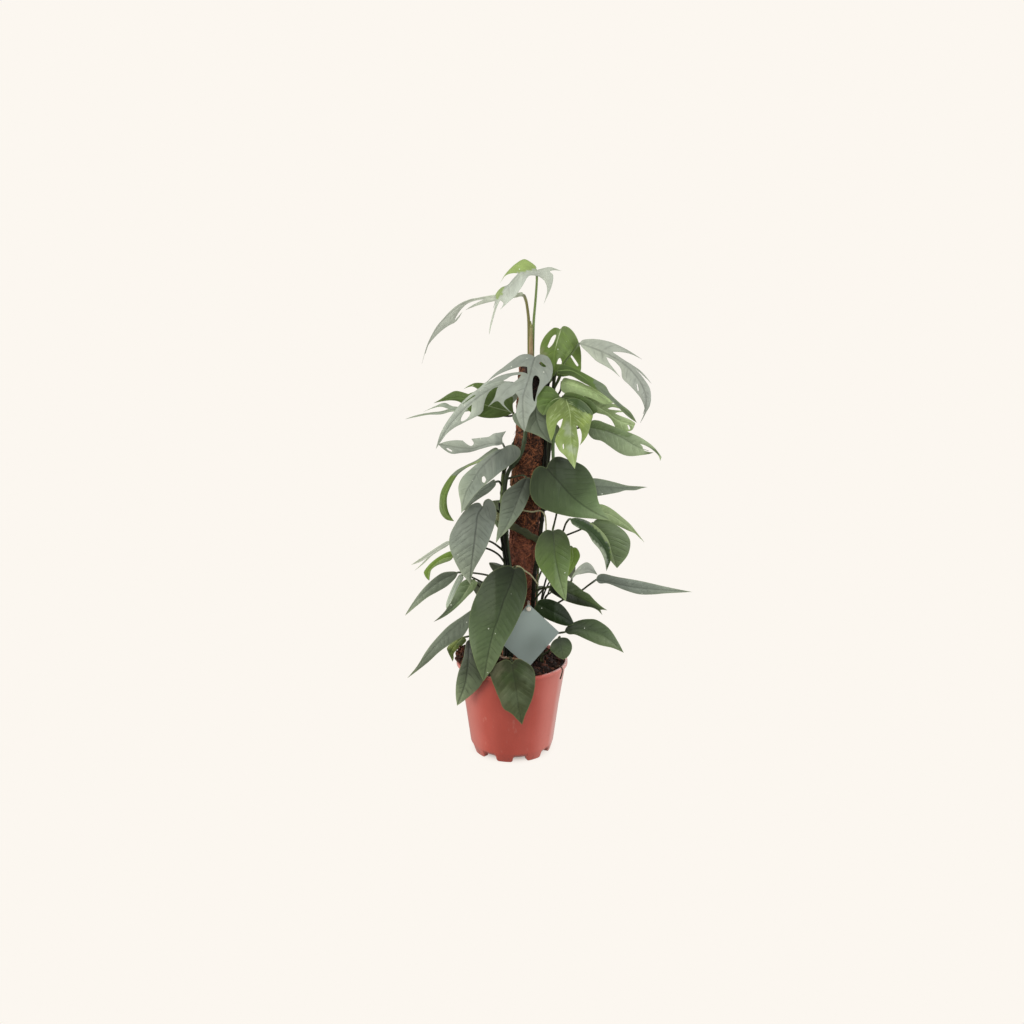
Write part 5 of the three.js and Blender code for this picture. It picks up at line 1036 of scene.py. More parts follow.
        mid="60 145 -62, 61.5 134 -65, 63.5 125 -67, 65 116.3 -67",
        a="55 143.5, 50 138.5, 48 130.5, 52 125, 58 119.5",
        b="65 145.5, 70.5 143.8, 74.8 137.8, 75.6 130.7, 73 123.5, 69.5 119",
        stalk="60 145.2 -61, 59.5 146 -54, 52 134 -42, 42 124 -28"),
    "front_largest": dict(
        slot="dark_green", tone="deep", light=1.05, fade=[0.2, 0.85, 1.8], halves=[0.9, 1.1], rib=-0.8,
        veining=-0.4, vine=["front", 224],
        mid="3 235 -50, -2 215 -60, -10 195 -68, -17 172 -75, -24 150 -80, -30 125 -84, -36 87 -84",
        a="-5 239, -20 234, -32 224, -41 208, -49 190, -53.5 170, -54 148, -50 126, -44 105",
        b="9 237, 14.5 233, 17.8 222, 18.5 205, 14 185, 8 170, 0 153, -9 137, -15 122, -25 103, -31 95",
        stalk="3 236 -49, 4 238 -42, 2 235 -32"),
    "front_left_veined": dict(
        slot="mid_green", tone="sage", light=1.05, fade=[0.05, 0.5, 2], halves=[0.95, 1.05], rib=-1,
        veining=-0.9, vine=["left", 154],
        mid="-53 143 -60, -54 125 -66, -56 105 -71, -60 82 -76, -70 54 -78",
        a="-58 138, -61 120, -65 108, -68.5 97, -71 83, -71.5 68",
        b="-48 138, -42 118, -37 100, -36 90, -41 80, -50 70.5, -61 61",
        stalk="-53 143.5 -60, -50 150 -52, -38 156 -38, -20 156 -28"),
    "front_over_rim": dict(
        slot="dark_green", tone="olive", light=0.6, fade=[0.55, 1.45], halves=[1.1, 0.9], rib=-0.3,
        veining=0.5, vine=["front", 124],
        patches=[[-20, 102, 14, "brownish", 0.2], [-14, 60, 14, "brownish", 0.15], [22, 92, 14, "sage", 0.3],
            [2, 66, 16, "sage", 0.3], [-5, 92, 12, "dark", 0.3], [12, 104, 10, "dark", 0.25]],
        mid="0 111 -80, 3 92 -84, 6 70 -86, 9 48 -87, 13 28 -87",
        a="""-3 115, -9 116, -18 111.5, -25.5 105, -27.5 97, -25.4 88, -22 79, -19.3 71, -15 60.5, -12.5 53,
            -9.5 48.8 1, -4 45.5, 1 41.8, 5.5 36.5""",
        b="3 115, 9 117, 18 112.5, 25.5 106, 29 97, 29.6 88, 28.3 75, 25.5 63, 21 51, 17 42, 15 35",
        stalk="0 111.5 -79, -1 117 -68, -4 119 -54, -2 119 -38"),
}

for number, (name, row) in enumerate(leafRows.items()):
    leafPiece(name, row, number)
print("leaves made:", len(leafRows))


# Leafy stems behind the pole. A leaf's row is its height on the stem, its turn seen from above in
# degrees (0 to the front, 90 to the right), the stalk's length, the blade's length and width, and
# its droop: how far it bends over, in radians.
backLeaves = {
    "back": [[286, 196, 42, 96, 54, 1.25], [318, 152, 30, 84, 47, 0.9], [352, 214, 26, 78, 44, 1.1],
        [384, 170, 40, 100, 56, 1.35], [414, 132, 26, 74, 42, 0.95], [440, 202, 30, 86, 48, 1.15],
        [458, 166, 24, 66, 38, 0.7]],
    "backLeft": [[146, 212, 24, 66, 40, 1.3], [178, 196, 34, 86, 46, 1.1], [206, 182, 24, 62, 36, 1.2]],
    "backRight": [[136, 184, 30, 70, 38, 1.35], [174, 186, 26, 72, 36, 1.15], [210, 146, 28, 70, 40, 1.0],
        [244, 178, 32, 84, 44, 1.3]],
}
backNames = {"back": "back_shoot_tall", "backLeft": "back_shoot_left", "backRight": "back_shoot_right"}
backTones = ["mid", "deep", "greyGreen", "mid", "sage", "steel", "leafGreen"]
backBuild = {"lift": 18, "stations": 6, "rows": 44, "columns": 17, "dip": 0.1, "wave": 1.0, "edgeRise": 0.2,
             "stalkRadius": [1.3, 1.15]}


# A back leaf: its stalk lifts the foot, from where the middle line bends over by droop. The blade is
# a grid, s along the middle line and c across from -1 to 1. Half its width at s is
# 0.5 width sin(pi s^0.7)^0.8; the edges rise by edgeRise of it, each half swells forward by
# bulge times sin(pi |c|), and waves run along the edge as c^2 sin(along).
def backLeaf(root, turn, stalk, length, width, droop, number):
    build = backBuild
    angle = math.radians(turn - 90)
    out = np.array([math.cos(angle), math.sin(angle), 0])
    across = np.array([-out[1], out[0], 0])
    lift, stations = build["lift"], build["stations"]
    foot = root + stalk * out + [0, 0, lift]
    dip = build["dip"] + droop * np.arange(stations) / stations
    steps = length / stations * (np.cos(dip)[:, None] * out - np.sin(dip)[:, None] * [0, 0, 1])
    coarse = np.vstack([foot, foot + np.cumsum(steps, axis=0)])
    rows, columns = build["rows"], build["columns"]
    middle = curveThrough(coarse, rows - 1)
    s, c = np.meshgrid(np.linspace(0, 1, rows), np.linspace(-1, 1, columns), indexing="ij")
    half = 0.5 * width * np.sin(np.pi * s**0.7)**0.8 + 0.05
    away = np.abs(c) * half
    phase = sidePhase(s * length, away, number)
    rise = build["edgeRise"] * (np.sqrt(away**2 + 4) - 2)
    rise += leafBuild["bulge"] * half * np.sin(np.pi * np.abs(c))
    crest = np.sin(s * length / 8.5 + 2 * number + 2 * (c > 0))
    rise += build["wave"] * c**2 * crest * np.minimum(1, half / 12)
    rise -= leafBuild["quilt"] * np.cos(2 * np.pi * phase) * np.sin(np.pi * np.abs(c))
    places = middle[:, None] + (c * half)[..., None] * across + rise[..., None] * [0, 0, 1]
    quads = gridFaces(rows, columns)
    triangles = np.vstack([quads[:, [0, 1, 2]], quads[:, [0, 2, 3]]])
    edge = (1 - np.abs(c)) * half
    tone = backTones[number % len(backTones)]
    tint = paint(tones[tone], 0.6) * (0.92 + 0.14 * s.ravel())[:, None]
    veins = np.stack([phase, c * half, edge], -1).reshape(-1, 3)
    blade = bladeShape(places.reshape(-1, 3), triangles, tint, veins, [-0.5, -0.5])
    path = [root, (root + foot) / 2 + [0, 0, 0.3 * lift], foot]
    tube = stalkOf(path, middle - [0, 0, 0.3], {"tone": tone, "rib": -0.4}, build["stalkRadius"])
    return blade, tube


# Colour of each vine by height: its own greens and browns, with painted shade for the shade inside
# the plant: near-black low down and all along the right vine, and darker from 385 up on the left one
vineColourAndShade = {
    "left": [[88, "#20241a"], [235, "#272d1e"], [290, "#39432a"], [312, "#6b7b4d"], [350, "#66754a"],
        [385, "#343c24"], [440, "#3c462b"]],
    "front": [[88, "#22281b"], [280, "#2a3320"], [350, "#333d28"], [400, "#47543a"], [480, "#5d6a43"],
        [496, "#8f7a5e"], [512, "#927f5c"], [536, "#8f955e"]],
    "right": [[88, "#17180b"], [330, "#1b1c0e"], [476, "#2c331c"]],
    "back": [[88, "#39412a"], [466, "#59663a"]], "backLeft": [[88, "#39412a"], [244, "#59663a"]],
    "backRight": [[88, "#39412a"], [284, "#59663a"]],
}
vineBuild = {"radius": 2.45, "nodeGap": 34, "nodeSwell": 0.22, "step": 1.5, "sides": 14}


# A vine: a tube on its listed points. Each nodeGap it has a node, where it is darker and its radius
# swells by nodeSwell exp(-(distance / 2.2)^2). It gets thinner in its last 30 mm, most in the last 7.
def vineTube(name, radius, nodeGap, nodeSwell, step, sides):
    path = evenly(vineRows[name], step)
    run = np.arange(len(path)) * step
    node = np.abs((run + 9) % nodeGap - nodeGap / 2)
    radii = radius * (1 + nodeSwell * np.exp(-(node / 2.2)**2) - 0.05 * np.exp(-((node - 4) / 2)**2))
    radii *= (1 - 0.25 * ease(run, run[-1] - 30, run[-1])) * (1 - 0.7 * ease(run, run[-1] - 7, run[-1]))
    tube = sweep(path, radii, sides)
    ring = np.append(np.repeat(np.arange(len(path)), sides), [0, len(path) - 1])
    heights, codes = zip(*vineColourAndShade[name])
    shades = np.array([paint(code) for code in codes])
    tint = np.stack([np.interp(tube["points"][:, 2], heights, shades[:, k]) for k in range(4)], 1)
    return painted(tube, tint * (1 - 0.4 * np.exp(-(node / 1.2)**2))[ring][:, None])


for stem, rows in backLeaves.items():
    parts = [vineTube(stem, **vineBuild)]
    for number, (height, *rest) in enumerate(rows):
        parts += backLeaf(onVine(stem, height), *rest, number)
    makePiece("fine_" + backNames[stem], joined(parts),
              [leafFinishes["mid_green"], undersideFinish, stalkPaint], "leaf_mid_green",
              [backNames[stem]], [2, 2] + leafSlots * len(rows))
print("back shoots made")


# Vines at the front of the pole, the front one with two roots in the air
airRoots = {"colour": "#b3b18c", "radius": 1.05, "paths": [
    """-7 313 -24, 7 311 -26, 14 308.6 -25.5, 25 306.8 -25.5, 34.5 308.2 -26, 39.8 303.5 -28, 41.6 293 -30,
    41.8 282 -31""",
    "-1 236 -24, 8 238 -26, 16 232 -27, 22 228 -28, 33 214 -28",
]}
for name in ("left", "front", "right"):
    parts = [vineTube(name, **vineBuild)]
    for root in airRoots["paths"] if name == "front" else []:
        path = evenly(seen(spots(root)), 1.5)
        taper = np.linspace(1, 0.8, len(path)) * (1 + 0.06 * np.sin(np.arange(len(path)) * 1.9))
        parts.append(painted(sweep(path, airRoots["radius"] * taper, 8), paint(airRoots["colour"])))
    makePiece("fine_vine_" + name, joined(parts), [stalkPaint], "stem_dark" if name == "right" else "stem",
              ["vine_" + name])

# Thin stalks and strands that only show as lines: radius, colour, places seen from the front
looseStalks = [
    [2, "#586c46", "51 350 -15, 49.8 375 -15, 49.6 388 -15, 50.4 408 -13, 52.5 432 -12"],
    # The thick near-black strand at the pole's right edge is partly a stalk and partly painted shade filling a
    # dark gap there
    [2.4, "#14150c", "36 340 -9, 38.5 366 -9, 40 388 -8, 41.5 420 -6"],
    [1.1, "#2a2c1c", "43 224 -14, 40.5 214.5 -15, 36.8 196 -17, 34 170 -17, 32 112 -12"],
    [1, "#2a2c1c", "47.7 220 -20, 42.4 209.2 -20, 38.7 197.4 -20, 36 170 -20, 35 112 -15"],
    [1, "#565a36", "47 209.2 -26, 44.4 201.3 -25, 41.3 196 -24, 38 172 -24, 37 112 -18"],
    [1, "#2a2c1c", "48.5 204 -30, 41.9 198.7 -28, 39.5 180 -27, 39 112 -20"],
    [1.3, "#191d15", """-15.5 318 -20, -13.6 276 -20, -10.6 260 -22, -6.6 238 -22, -5.5 200 -22,
        -5 112 -20"""],
    [1.2, "#3d4834", """-5.5 325 -22, -4.6 300 -25, -5.4 277 -27, -3.4 254 -27, -1.6 237 -27, -2.2 200 -27,
        -3 112 -24"""],
    [1.1, "#14170f", "-9.8 330 -25, -9.6 277 -26, -7.4 256 -27, -4.2 238 -27, -4 205 -27, -6 112 -26"],
    [0.9, "#8d7565", "-18 124.5 -68, -16.5 122.9 -69, -13.7 119.9 -70, -10 118.3 -70, -7.1 119.9 -68"],
    [0.8, "#4a3a2a", "55 106 -42, 60 107.5 -48, 63.5 104 -50, 63 96 -52, 61 90 -53"],
    [1.2, "#7a6046", "-18 123 -50, -8 118.5 -58, 5 117 -60, 12 115 -52"],
]
parts = [painted(sweep(evenly(seen(spots(row)), 1.5), radius, 8), paint(code))
         for radius, code, row in looseStalks]
makePiece("loose_stalks", joined(parts), [stalkPaint], "stem_dark")
print("vines made")


# Pot
potSize = {"height": 118, "rim": 70, "base": 49, "wallTop": 67.6, "wall": 1.6, "lipBottom": 113, "lipThick": 3,
           "bendHeight": 12, "bendRadius": 52.8, "footHeight": 8, "feet": 8, "footTurn": 34, "floorTop": 10,
           "archHeight": 7.0, "archHalf": 8.8, "archRound": 3.2, "footRound": 3.2, "wallMiddle": [59.3, 61],
           "hub": 9, "hubHeight": 8.5, "drainRadius": 4, "drainCircle": 28}


# The pot's finish: red, cloudy and flowing, with pale dusty smears. By how far out a place is
# against the pot's radius there, it has painted shade, darkest in the middle of its front, and
# painted highlights, pale towards its sides and whitish at its edges. Earth clings to its foot and a
# few dark spots lie on it.
def potFinish():
    shader = Shader("terracotta_red_plastic")
    place = shader.place()
    cloudy = shader.noise(place, 38, 3.0)
    flow = shader.noise(place, 14, 3.0, (1, 1, 0.18))
    grain = shader.noise(place, 0.7, 3.0)
    smear = shader.noise(place, 5, 4.0, (1, 1, 0.4))
    colour = shader.mix(cloudy, paint("#ac4435"), paint("#c55d50"))
    colour = shader.scaled(colour, 0.86 + flow * 0.2 + (grain - 0.5) * 0.1)
    dusty = shader.step(smear, 0.62, 0.78) * 0.22
    colour = shader.mix(dusty, colour, paint("#d2a090"))
    # Painted shade in the middle of the front, painted highlights towards the sides and at the edges
    x, _, z = shader.parts(place)
    out = abs(x + 3) / (z * 0.147 + 51)
    colour = shader.mix((1 - shader.step(out, 0.1, 0.5)) * 0.35, colour, paint("#963527"))
    colour = shader.mix(shader.step(out, 0.45, 0.85) * 0.4, colour, paint("#d98f84"))
    colour = shader.mix(shader.step(out, 0.88, 1.0) * 0.35, colour, paint("#f0d2ca"))
    earth = shader.step(smear, 0.52, 0.7) * (1 - shader.step(z, 2, 14)) * 0.45
    colour = shader.mix(earth, colour, paint("#5c3a2e"))
    spot = shader.node("TexVoronoi", None, {"Vector": place, "Scale": 0.07})
    colour = shader.mix((1 - shader.step(spot, 0.02, 0.045)) * 0.7, colour, paint("#5a2a20"))
    return shader.finish(colour, 0.32 + smear * 0.14, grain * 0.05 + flow * 0.3, 0.7,
                         **{"Coat Weight": 0.4, "Coat Roughness": 0.22})


# Height of the foot ring's lower edge at a distance x (mm round the ring) from an arch's middle:
# the arch's rounded corner, its upright side at archHalf, then the foot's rounded corner
def archLift(x):
    size = potSize
    top, foot, side = size["archRound"], size["footRound"], size["archHalf"]
    inner = size["archHeight"] - top + np.sqrt(np.clip(top**2 - np.clip(x - side + top, 0, top)**2, 0, None))
    outer = foot - np.sqrt(np.clip(foot**2 - np.clip(side + foot - x, 0, foot)**2, 0, None))
    return np.where(x < side, inner, outer)


# The pot: the wall and its foot ring as one turned shell, with arches between the feet, the floor
# with its drain holes, and a hub below the floor
def potShape():
    size = potSize
    step = 2 * np.pi / size["feet"]
    side = size["archHalf"] / size["base"]
    near = np.array([-3, -2.2, -1.4, -0.8, -0.35, -0.02, 0.02, 0.3, 0.8, 1.4, 2.1, 3]) / size["base"]
    one = np.unique(np.concatenate([np.linspace(0, step / 2, 9), side + near]))
    sector = np.concatenate([one, step - one[1:-1][::-1]])
    first = math.radians(size["footTurn"] - 90) + step / 2
    turns = first + (np.arange(size["feet"])[:, None] * step + sector[None]).ravel()
    wrapped = (turns - first) % step
    across = np.minimum(wrapped, step - wrapped) * size["base"]
    lift = archLift(across)[None]
    lifted = lambda height: height + lift * np.clip(1 - height / size["footHeight"], 0, 1)
    base, bend = size["base"], size["bendRadius"]
    ring = [[base - 7, 9], [base - 6, 0], [base, 0], [bend, size["bendHeight"]], size["wallMiddle"],
            [size["wallTop"], size["lipBottom"]], [size["rim"], size["lipBottom"] + 0.2],
            [size["rim"], size["height"]], [size["rim"] - size["lipThick"], size["height"]],
            [size["wallTop"] - size["wall"], size["lipBottom"]], [bend - size["wall"], size["bendHeight"] + 1],
            [base - 0.5, size["floorTop"]], [base - 6, size["floorTop"]]]
    shell = turned(ring, turns, 0.7, True, lifted)
    circle = lambda radius, count, x=0.0, y=0.0: np.stack(
        [x + radius * np.cos(np.arange(count) * 2 * np.pi / count),
         y + radius * np.sin(np.arange(count) * 2 * np.pi / count)], 1)
    between = first + np.arange(size["feet"]) * step
    holes = [circle(size["drainRadius"], 20, size["drainCircle"] * math.cos(turn),
                    size["drainCircle"] * math.sin(turn)) for turn in between]
    flat, triangles = flatSheet([circle(base - 4, 96)] + holes, 5.0)
    floor = thickened(np.column_stack([flat, np.full(len(flat), size["floorTop"] - 1.0)]), triangles, 1.0)
    hub, high = size["hub"], size["hubHeight"]
    return joined([shell, floor, turned([[0, 0], [hub, 0], [hub, high], [0, high]], 48, 0.6)])


makePiece("fine_pot", potShape(), [potFinish()], "pot_plastic", ["pot"])
print("pot made")


# Soil
soilSize = {
    "mound": [[0, 120], [20, 119], [32, 118.5], [44, 117], [54, 115.5], [60, 114], [66, 112.5]],
    "wall": [[64.7, 108], [49.4, 13.5], [46.8, 10.4]],      # [radius, height] down the pot's wall
    "columns": 180, "rough": 1.4, "heap": [-49, 24], "heapHigh": 9, "heapWide": 12,
    "chips": {"count": 420, "long": [1.6, 4.6], "bark": [0, 1.0], "seed": 11},
    "crumbs": {"count": 900, "long": [0.6, 1.7], "bark": [0, 0.6], "seed": 12},
    "barkHeap": {"count": 320, "middle": [-61.5, -8, 123], "reach": [9, 12, 13.5]},
}


# Height of the soil's top: the mound's height over the radius, two crossed waves, small lumps, and
# a heap whose height is heapHigh exp(-(distance / heapWide)^2)
def soilTop(x, y):
    radius = np.hypot(x, y)
    mound = np.interp(radius, *zip(*soilSize["mound"]))
    waves = soilSize["rough"] * (np.sin(x * 0.31 + y * 0.17) + np.sin(y * 0.37 - x * 0.11))
    lumps = 0.7 * np.sin(x * 1.1 + 2 * np.sin(y * 0.8)) * np.sin(y * 1.3 + 2 * np.sin(x * 0.6))
    away = np.hypot(x - soilSize["heap"][0], y - soilSize["heap"][1])
    heap = soilSize["heapHigh"] * np.exp(-(away / soilSize["heapWide"])**2)
    return mound + heap * (1 - ease(radius, 60, 65)) + (waves + lumps) * (1 - 0.6 * ease(radius, 58, 65))


# A rounded block of three rings of six, radius cos(latitude), closed by poles
def pebble():
    rings, sides = 3, 6
    latitude = np.linspace(-1, 1, rings + 2)[1:-1, None] * 1.15
    body = around(np.cos(latitude), np.arange(sides) * 2 * np.pi / sides, np.sin(latitude))
    points = np.vstack([body.reshape(-1, 3), [[0, 0, -1], [0, 0, 1]]])
    return points, [gridFaces(rings, sides, True)[:, ::-1], poleFaces(rings, sides)[:, [0, 2, 1]]]


# Lengths, widths and thicknesses of pebbles, the last two as shares of the first
def pebbleSizes(count, long, wide, thick, random):
    length = random.uniform(*long, count)
    return np.stack([length, length * random.uniform(*wide, count), length * random.uniform(*thick, count)], 1)


# Many pebbles, each with its own size, place, turn, dents and share of bark. A turn is a unit
# quaternion (w, x, y, z) written as a matrix.
def scattered(places, sizes, bark, random):
    shape, faces = pebble()
    count = len(places)
    w, x, y, z = unit(random.normal(size=(count, 4))).T
    spin = np.stack([1 - 2 * (y*y + z*z), 2 * (x*y - w*z), 2 * (x*z + w*y),
                     2 * (x*y + w*z), 1 - 2 * (x*x + z*z), 2 * (y*z - w*x),
                     2 * (x*z - w*y), 2 * (y*z + w*x), 1 - 2 * (x*x + y*y)], 1).reshape(count, 3, 3)
    dented = shape[None] * (1 + random.uniform(-0.22, 0.22, (count, len(shape), 1)))
    points = np.einsum("nij,npj->npi", spin, dented * sizes[:, None]) + places[:, None]
    starts = len(shape) * np.arange(count)[:, None, None]
    return {"points": points.reshape(-1, 3),
            "faces": [(face + starts).reshape(-1, face.shape[1]) for face in faces],
            "bark": np.repeat(random.uniform(*bark, count), len(shape))}


# Dark peat, brown where the bark attribute is high, in fine light and dark grains
def soilFinish():
    shader = Shader("bark_and_peat")
    place = shader.place()
    cloudy = shader.noise(place, 6, 4.0)
    grain = shader.noise(place, 0.8, 4.0)
    colour = shader.mix(cloudy, paint("#140b06"), paint("#331d12"))
    colour = shader.mix(shader.attribute("bark", "Fac"), colour, paint("#6a3820"))
    colour = shader.scaled(colour, 0.36 + grain * 0.8)
    return shader.finish(colour, 0.92, grain * 0.5 + cloudy * 0.8)


# The soil: rings of points out to its edge, each a little up or down at random, then down the wall
def soilBed():
    columns = soilSize["columns"]
    turns = np.arange(columns) * 2 * np.pi / columns
    radii = np.concatenate([np.linspace(0, 60, 61)[1:], [62, 63.6, 64.6, 65.0]])
    radius, turn = np.meshgrid(radii, turns, indexing="ij")
    rise = soilTop(radius * np.cos(turn), radius * np.sin(turn))
    top = around(radius, turn, rise + np.random.default_rng(5).normal(size=rise.shape) * 0.25)
    reach, height = np.array(soilSize["wall"]).T[..., None]
    rings = np.vstack([top, around(reach, turns, height)])
    poles = [[0, 0, float(soilTop(0.0, 0.0))], [0, 0, soilSize["wall"][-1][1]]]
    points = np.vstack([rings.reshape(-1, 3), poles])
    return {"points": points, "faces": [gridFaces(len(rings), columns, True), poleFaces(len(rings), columns)],
            "bark": np.zeros(len(points))}


# Pebbles strewn on the soil, drawn in where they would reach the wall
def litter(count, long, bark, seed):
    random = np.random.default_rng(seed)
    reach = 63.5 * np.sqrt(random.uniform(0.03, 1, count))
    turn = random.uniform(0, 2 * np.pi, count)
    x, y = reach * np.cos(turn), reach * np.sin(turn)
    sizes = pebbleSizes(count, long, [0.4, 0.8], [0.25, 0.5], random)
    places = np.stack([x, y, soilTop(x, y) + 0.35 * sizes[:, 2]], 1)
    inward = np.minimum(1, 61.5 / np.maximum(np.hypot(x, y) + sizes[:, 0] * 0.5, 1))
    places[:, :2] *= inward[:, None]
    return scattered(places, sizes, bark, random)


# Bark heaped against the left leaves: pebbles at random in an egg of the given reach round middle
def barkHeap(count, middle, reach):
    random = np.random.default_rng(13)
    places = unit(random.normal(size=(count, 3))) * random.uniform(0, 1, (count, 1))**0.4 * reach + middle
    sizes = pebbleSizes(count, [1.6, 3.4], [0.5, 0.8], [0.35, 0.6], random)
    return scattered(places, sizes, [0.1, 1], random)


bed = joined([soilBed(), litter(**soilSize["chips"]), litter(**soilSize["crumbs"])])
soilPaint = soilFinish()
makePiece("fine_soil", bed, [soilPaint], "soil", ["soil"])
makePiece("bark_heap", barkHeap(**soilSize["barkHeap"]), [soilPaint], "soil")
print("soil made")


# Pole
coirSize = {"bottom": 60, "top": 487, "radius": 17.7, "bore": 9.35, "bulge": [350, 2.6, 13], "columns": 96,
            "rows": 240}
skinFibres = {"count": 2300, "stations": 7, "step": 4.2, "stand": 1.4, "thick": 0.55, "loose": 0, "seed": 21}
hairFibres = {"count": 300, "stations": 6, "step": 2.4, "stand": 1.0, "thick": 0.16, "loose": 4.5, "seed": 22}
coreSize = {"bottom": 10.35, "top": 488, "radius": 9}


# The fibres' finish: brown by the strand attribute, redder low down, pale in the tuft at the left,
# with painted shade: dark between clumps, where the bumps sink, and in the shade of the top leaf
def coirFinish():
    shader = Shader("coir_fibre")
    place = shader.place()
    cloudy = shader.noise(place, 11, 3.0)
    fibre = shader.noise(place, 0.9, 4.0, (1, 1, 0.5))
    strand = shader.attribute("strand", "Fac")
    clumps = shader.noise(place, 4.5, 3.0)
    x, _, z = shader.parts(place)
    tuft = shader.step(8 - x + (z - 350) * 0.06, 0, 9)
    tuft = tuft * shader.step(z, 325, 340) * (1 - shader.step(z, 362, 380))
    low = shader.step(z, 300, 275)
    colour = shader.mix(strand, paint("#331710"), paint("#c27a50"))
    colour = shader.mix(low * 0.45, colour, paint("#a05a44"))
    colour = shader.mix(tuft * 0.6, colour, paint("#b98456"))
    # Painted shade: dark between clumps where the bumps sink, and below the top leaf
    dark = shader.step(clumps, 0.36, 0.64) * (0.85 - low * 0.3) + 0.16 + low * 0.3
    hidden = shader.step(z, 425, 440) * shader.step(x, 11, 17) * 0.8
    shade = (dark + cloudy * 0.3 + (fibre - 0.5) * 0.8) * (0.88 - hidden)
    colour = shader.scaled(colour, shade)
    return shader.finish(colour, 0.85, fibre * 0.6 + clumps * 1.5)


# Sleeve: radius + 0.7 sin(5t + z/7) + 0.4 sin(9t - z/4.1) about the leaning pole, and a tuft on its
# left, high exp(-((z - middle) / wide)^2) max(0, -cos t)^2. bulge is [middle, high, wide].
def sleeveRadius(turn, height):
    middle, high, wide = coirSize["bulge"]
    tuft = high * np.exp(-((height - middle) / wide)**2) * np.maximum(0, -np.cos(turn))**2
    ridged = coirSize["radius"] + 0.7 * np.sin(5 * turn + height / 7)
    return ridged + 0.4 * np.sin(9 * turn - height / 4.1) + tuft


# The sleeve: rings of points up its outside, each a little in or out at random, then down its bore
def sleeve():
    size = coirSize
    columns, rows = size["columns"], size["rows"]
    turns = np.arange(columns) * 2 * np.pi / columns
    heights = np.linspace(size["bottom"], size["top"], rows)
    turn, height = np.meshgrid(turns, heights)
    radius = sleeveRadius(turn, height) + np.random.default_rng(3).normal(size=turn.shape) * 0.22
    outer, inner = (around(reach, turn, height, poleX(height)) for reach in (radius, size["bore"]))
    points = np.concatenate([outer, inner[[-1, 0]]]).reshape(-1, 3)
    here, last = np.arange(columns), (rows + 1) * columns
    close = np.stack([last + here, last + (here + 1) % columns, (here + 1) % columns, here], 1)
    return {"points": points, "faces": [np.vstack([gridFaces(rows + 2, columns, True)[:, ::-1], close])],
            "strand": np.clip(0.25 + np.random.default_rng(4).normal(size=len(points)) * 0.12, 0, 1)}


# Fibres on the sleeve: each wanders as turn and height change by steps of a slowly turning heading,
# and stands off the sleeve by a bow that is highest in its middle and by loose s^1.6, s running
# from 0 to 1 along it. The section is a triangle.
def fibres(count, stations, step, stand, thick, loose, seed):
    random = np.random.default_rng(seed)
    size = coirSize
    heading = random.uniform(0, 2 * np.pi, (count, 1)) + np.cumsum(random.normal(0, 0.34, (count, stations)), 1)
    turn = random.uniform(0, 2 * np.pi, (count, 1)) + np.cumsum(step * np.cos(heading), 1) / size["radius"]
    height = random.uniform(size["bottom"] + 4, size["top"] - 3, (count, 1))
    height = np.clip(height + np.cumsum(step * np.sin(heading), 1), size["bottom"] + 1, size["top"] - 0.3)
    s = np.linspace(0, 1, stations)[None]
    bow = stand * random.uniform(0.1, 1, (count, 1)) * np.sin(np.pi * s)
    off = bow + loose * random.uniform(0.3, 1, (count, 1)) * s**1.6
    radius = sleeveRadius(turn, height) - 0.25 + off
    path = around(radius, turn, height, poleX(height))
    along = unit(np.gradient(path, axis=1))
    side = unit(np.cross(along, around(1, turn, 0)))
    up = np.cross(side, along)
    corner = np.arange(3) * 2 * np.pi / 3
    taper = (0.35 + 0.65 * np.sin(np.pi * s))[..., None, None]
    width = thick * random.uniform(0.6, 1.3, (count, 1, 1, 1)) * taper
    ring = np.cos(corner)[:, None] * side[:, :, None] + np.sin(corner)[:, None] * up[:, :, None]
    points = path[:, :, None] + width * ring
    one = gridFaces(stations, 3, True)
    ends = np.array([[0, 1, 2], [3 * stations - 1, 3 * stations - 2, 3 * stations - 3]])
    start = (3 * stations * np.arange(count))[:, None, None]
    tone = np.repeat(np.clip(random.normal(0.55, 0.36, count), 0, 1.25), 3 * stations)
    return {"points": points.reshape(-1, 3),
            "faces": [(one[None] + start).reshape(-1, 4), (ends[None] + start).reshape(-1, 3)], "strand": tone}


coirPaint = coirFinish()
makePiece("fine_coir", joined([sleeve(), fibres(**skinFibres)]), [coirPaint], "coir", ["coir_wrap"])
makePiece("coir_hairs", fibres(**hairFibres), [coirPaint], "coir")


# Wood: light and dark in streaks along it
def woodFinish(name, light, dark, grainSize):
    shader = Shader(name)
    place = shader.place()
    grain = shader.noise(place, grainSize, 4.0, (1, 1, 0.08))
    spots = shader.noise(place, 1.3, 3.0)
    colour = shader.mix(grain, paint(dark), paint(light))
    colour = shader.scaled(colour, 0.8 + spots * 0.4)
    return shader.finish(colour, 0.7, grain * 0.4 + spots * 0.1)


low, high, wide = coreSize["bottom"], coreSize["top"], coreSize["radius"]
core = turned([[0, low], [wide, low], [wide, 250], [wide, high - 0.2], [0, high]], 48, 0.8)
core["points"][:, 0] += poleX(core["points"][:, 2])
makePiece("fine_pole_core", core, [woodFinish("pole_wood", "#a9744a", "#6c3f22", 2.5)], "pole_wood",
          ["pole_core"])
print("pole made")


# Tie: a band drawn round the pole and the three vines beside it. At each turn it lies on whichever
# of them reaches furthest that way; its section is a rounded strip.
tieSize = {"height": 286, "width": 10.5, "thick": 1.6, "slope": -0.6, "clear": 1.05, "poleRadius": 18.2,
           "vineRadius": 2.9, "stations": 140, "sides": 14}


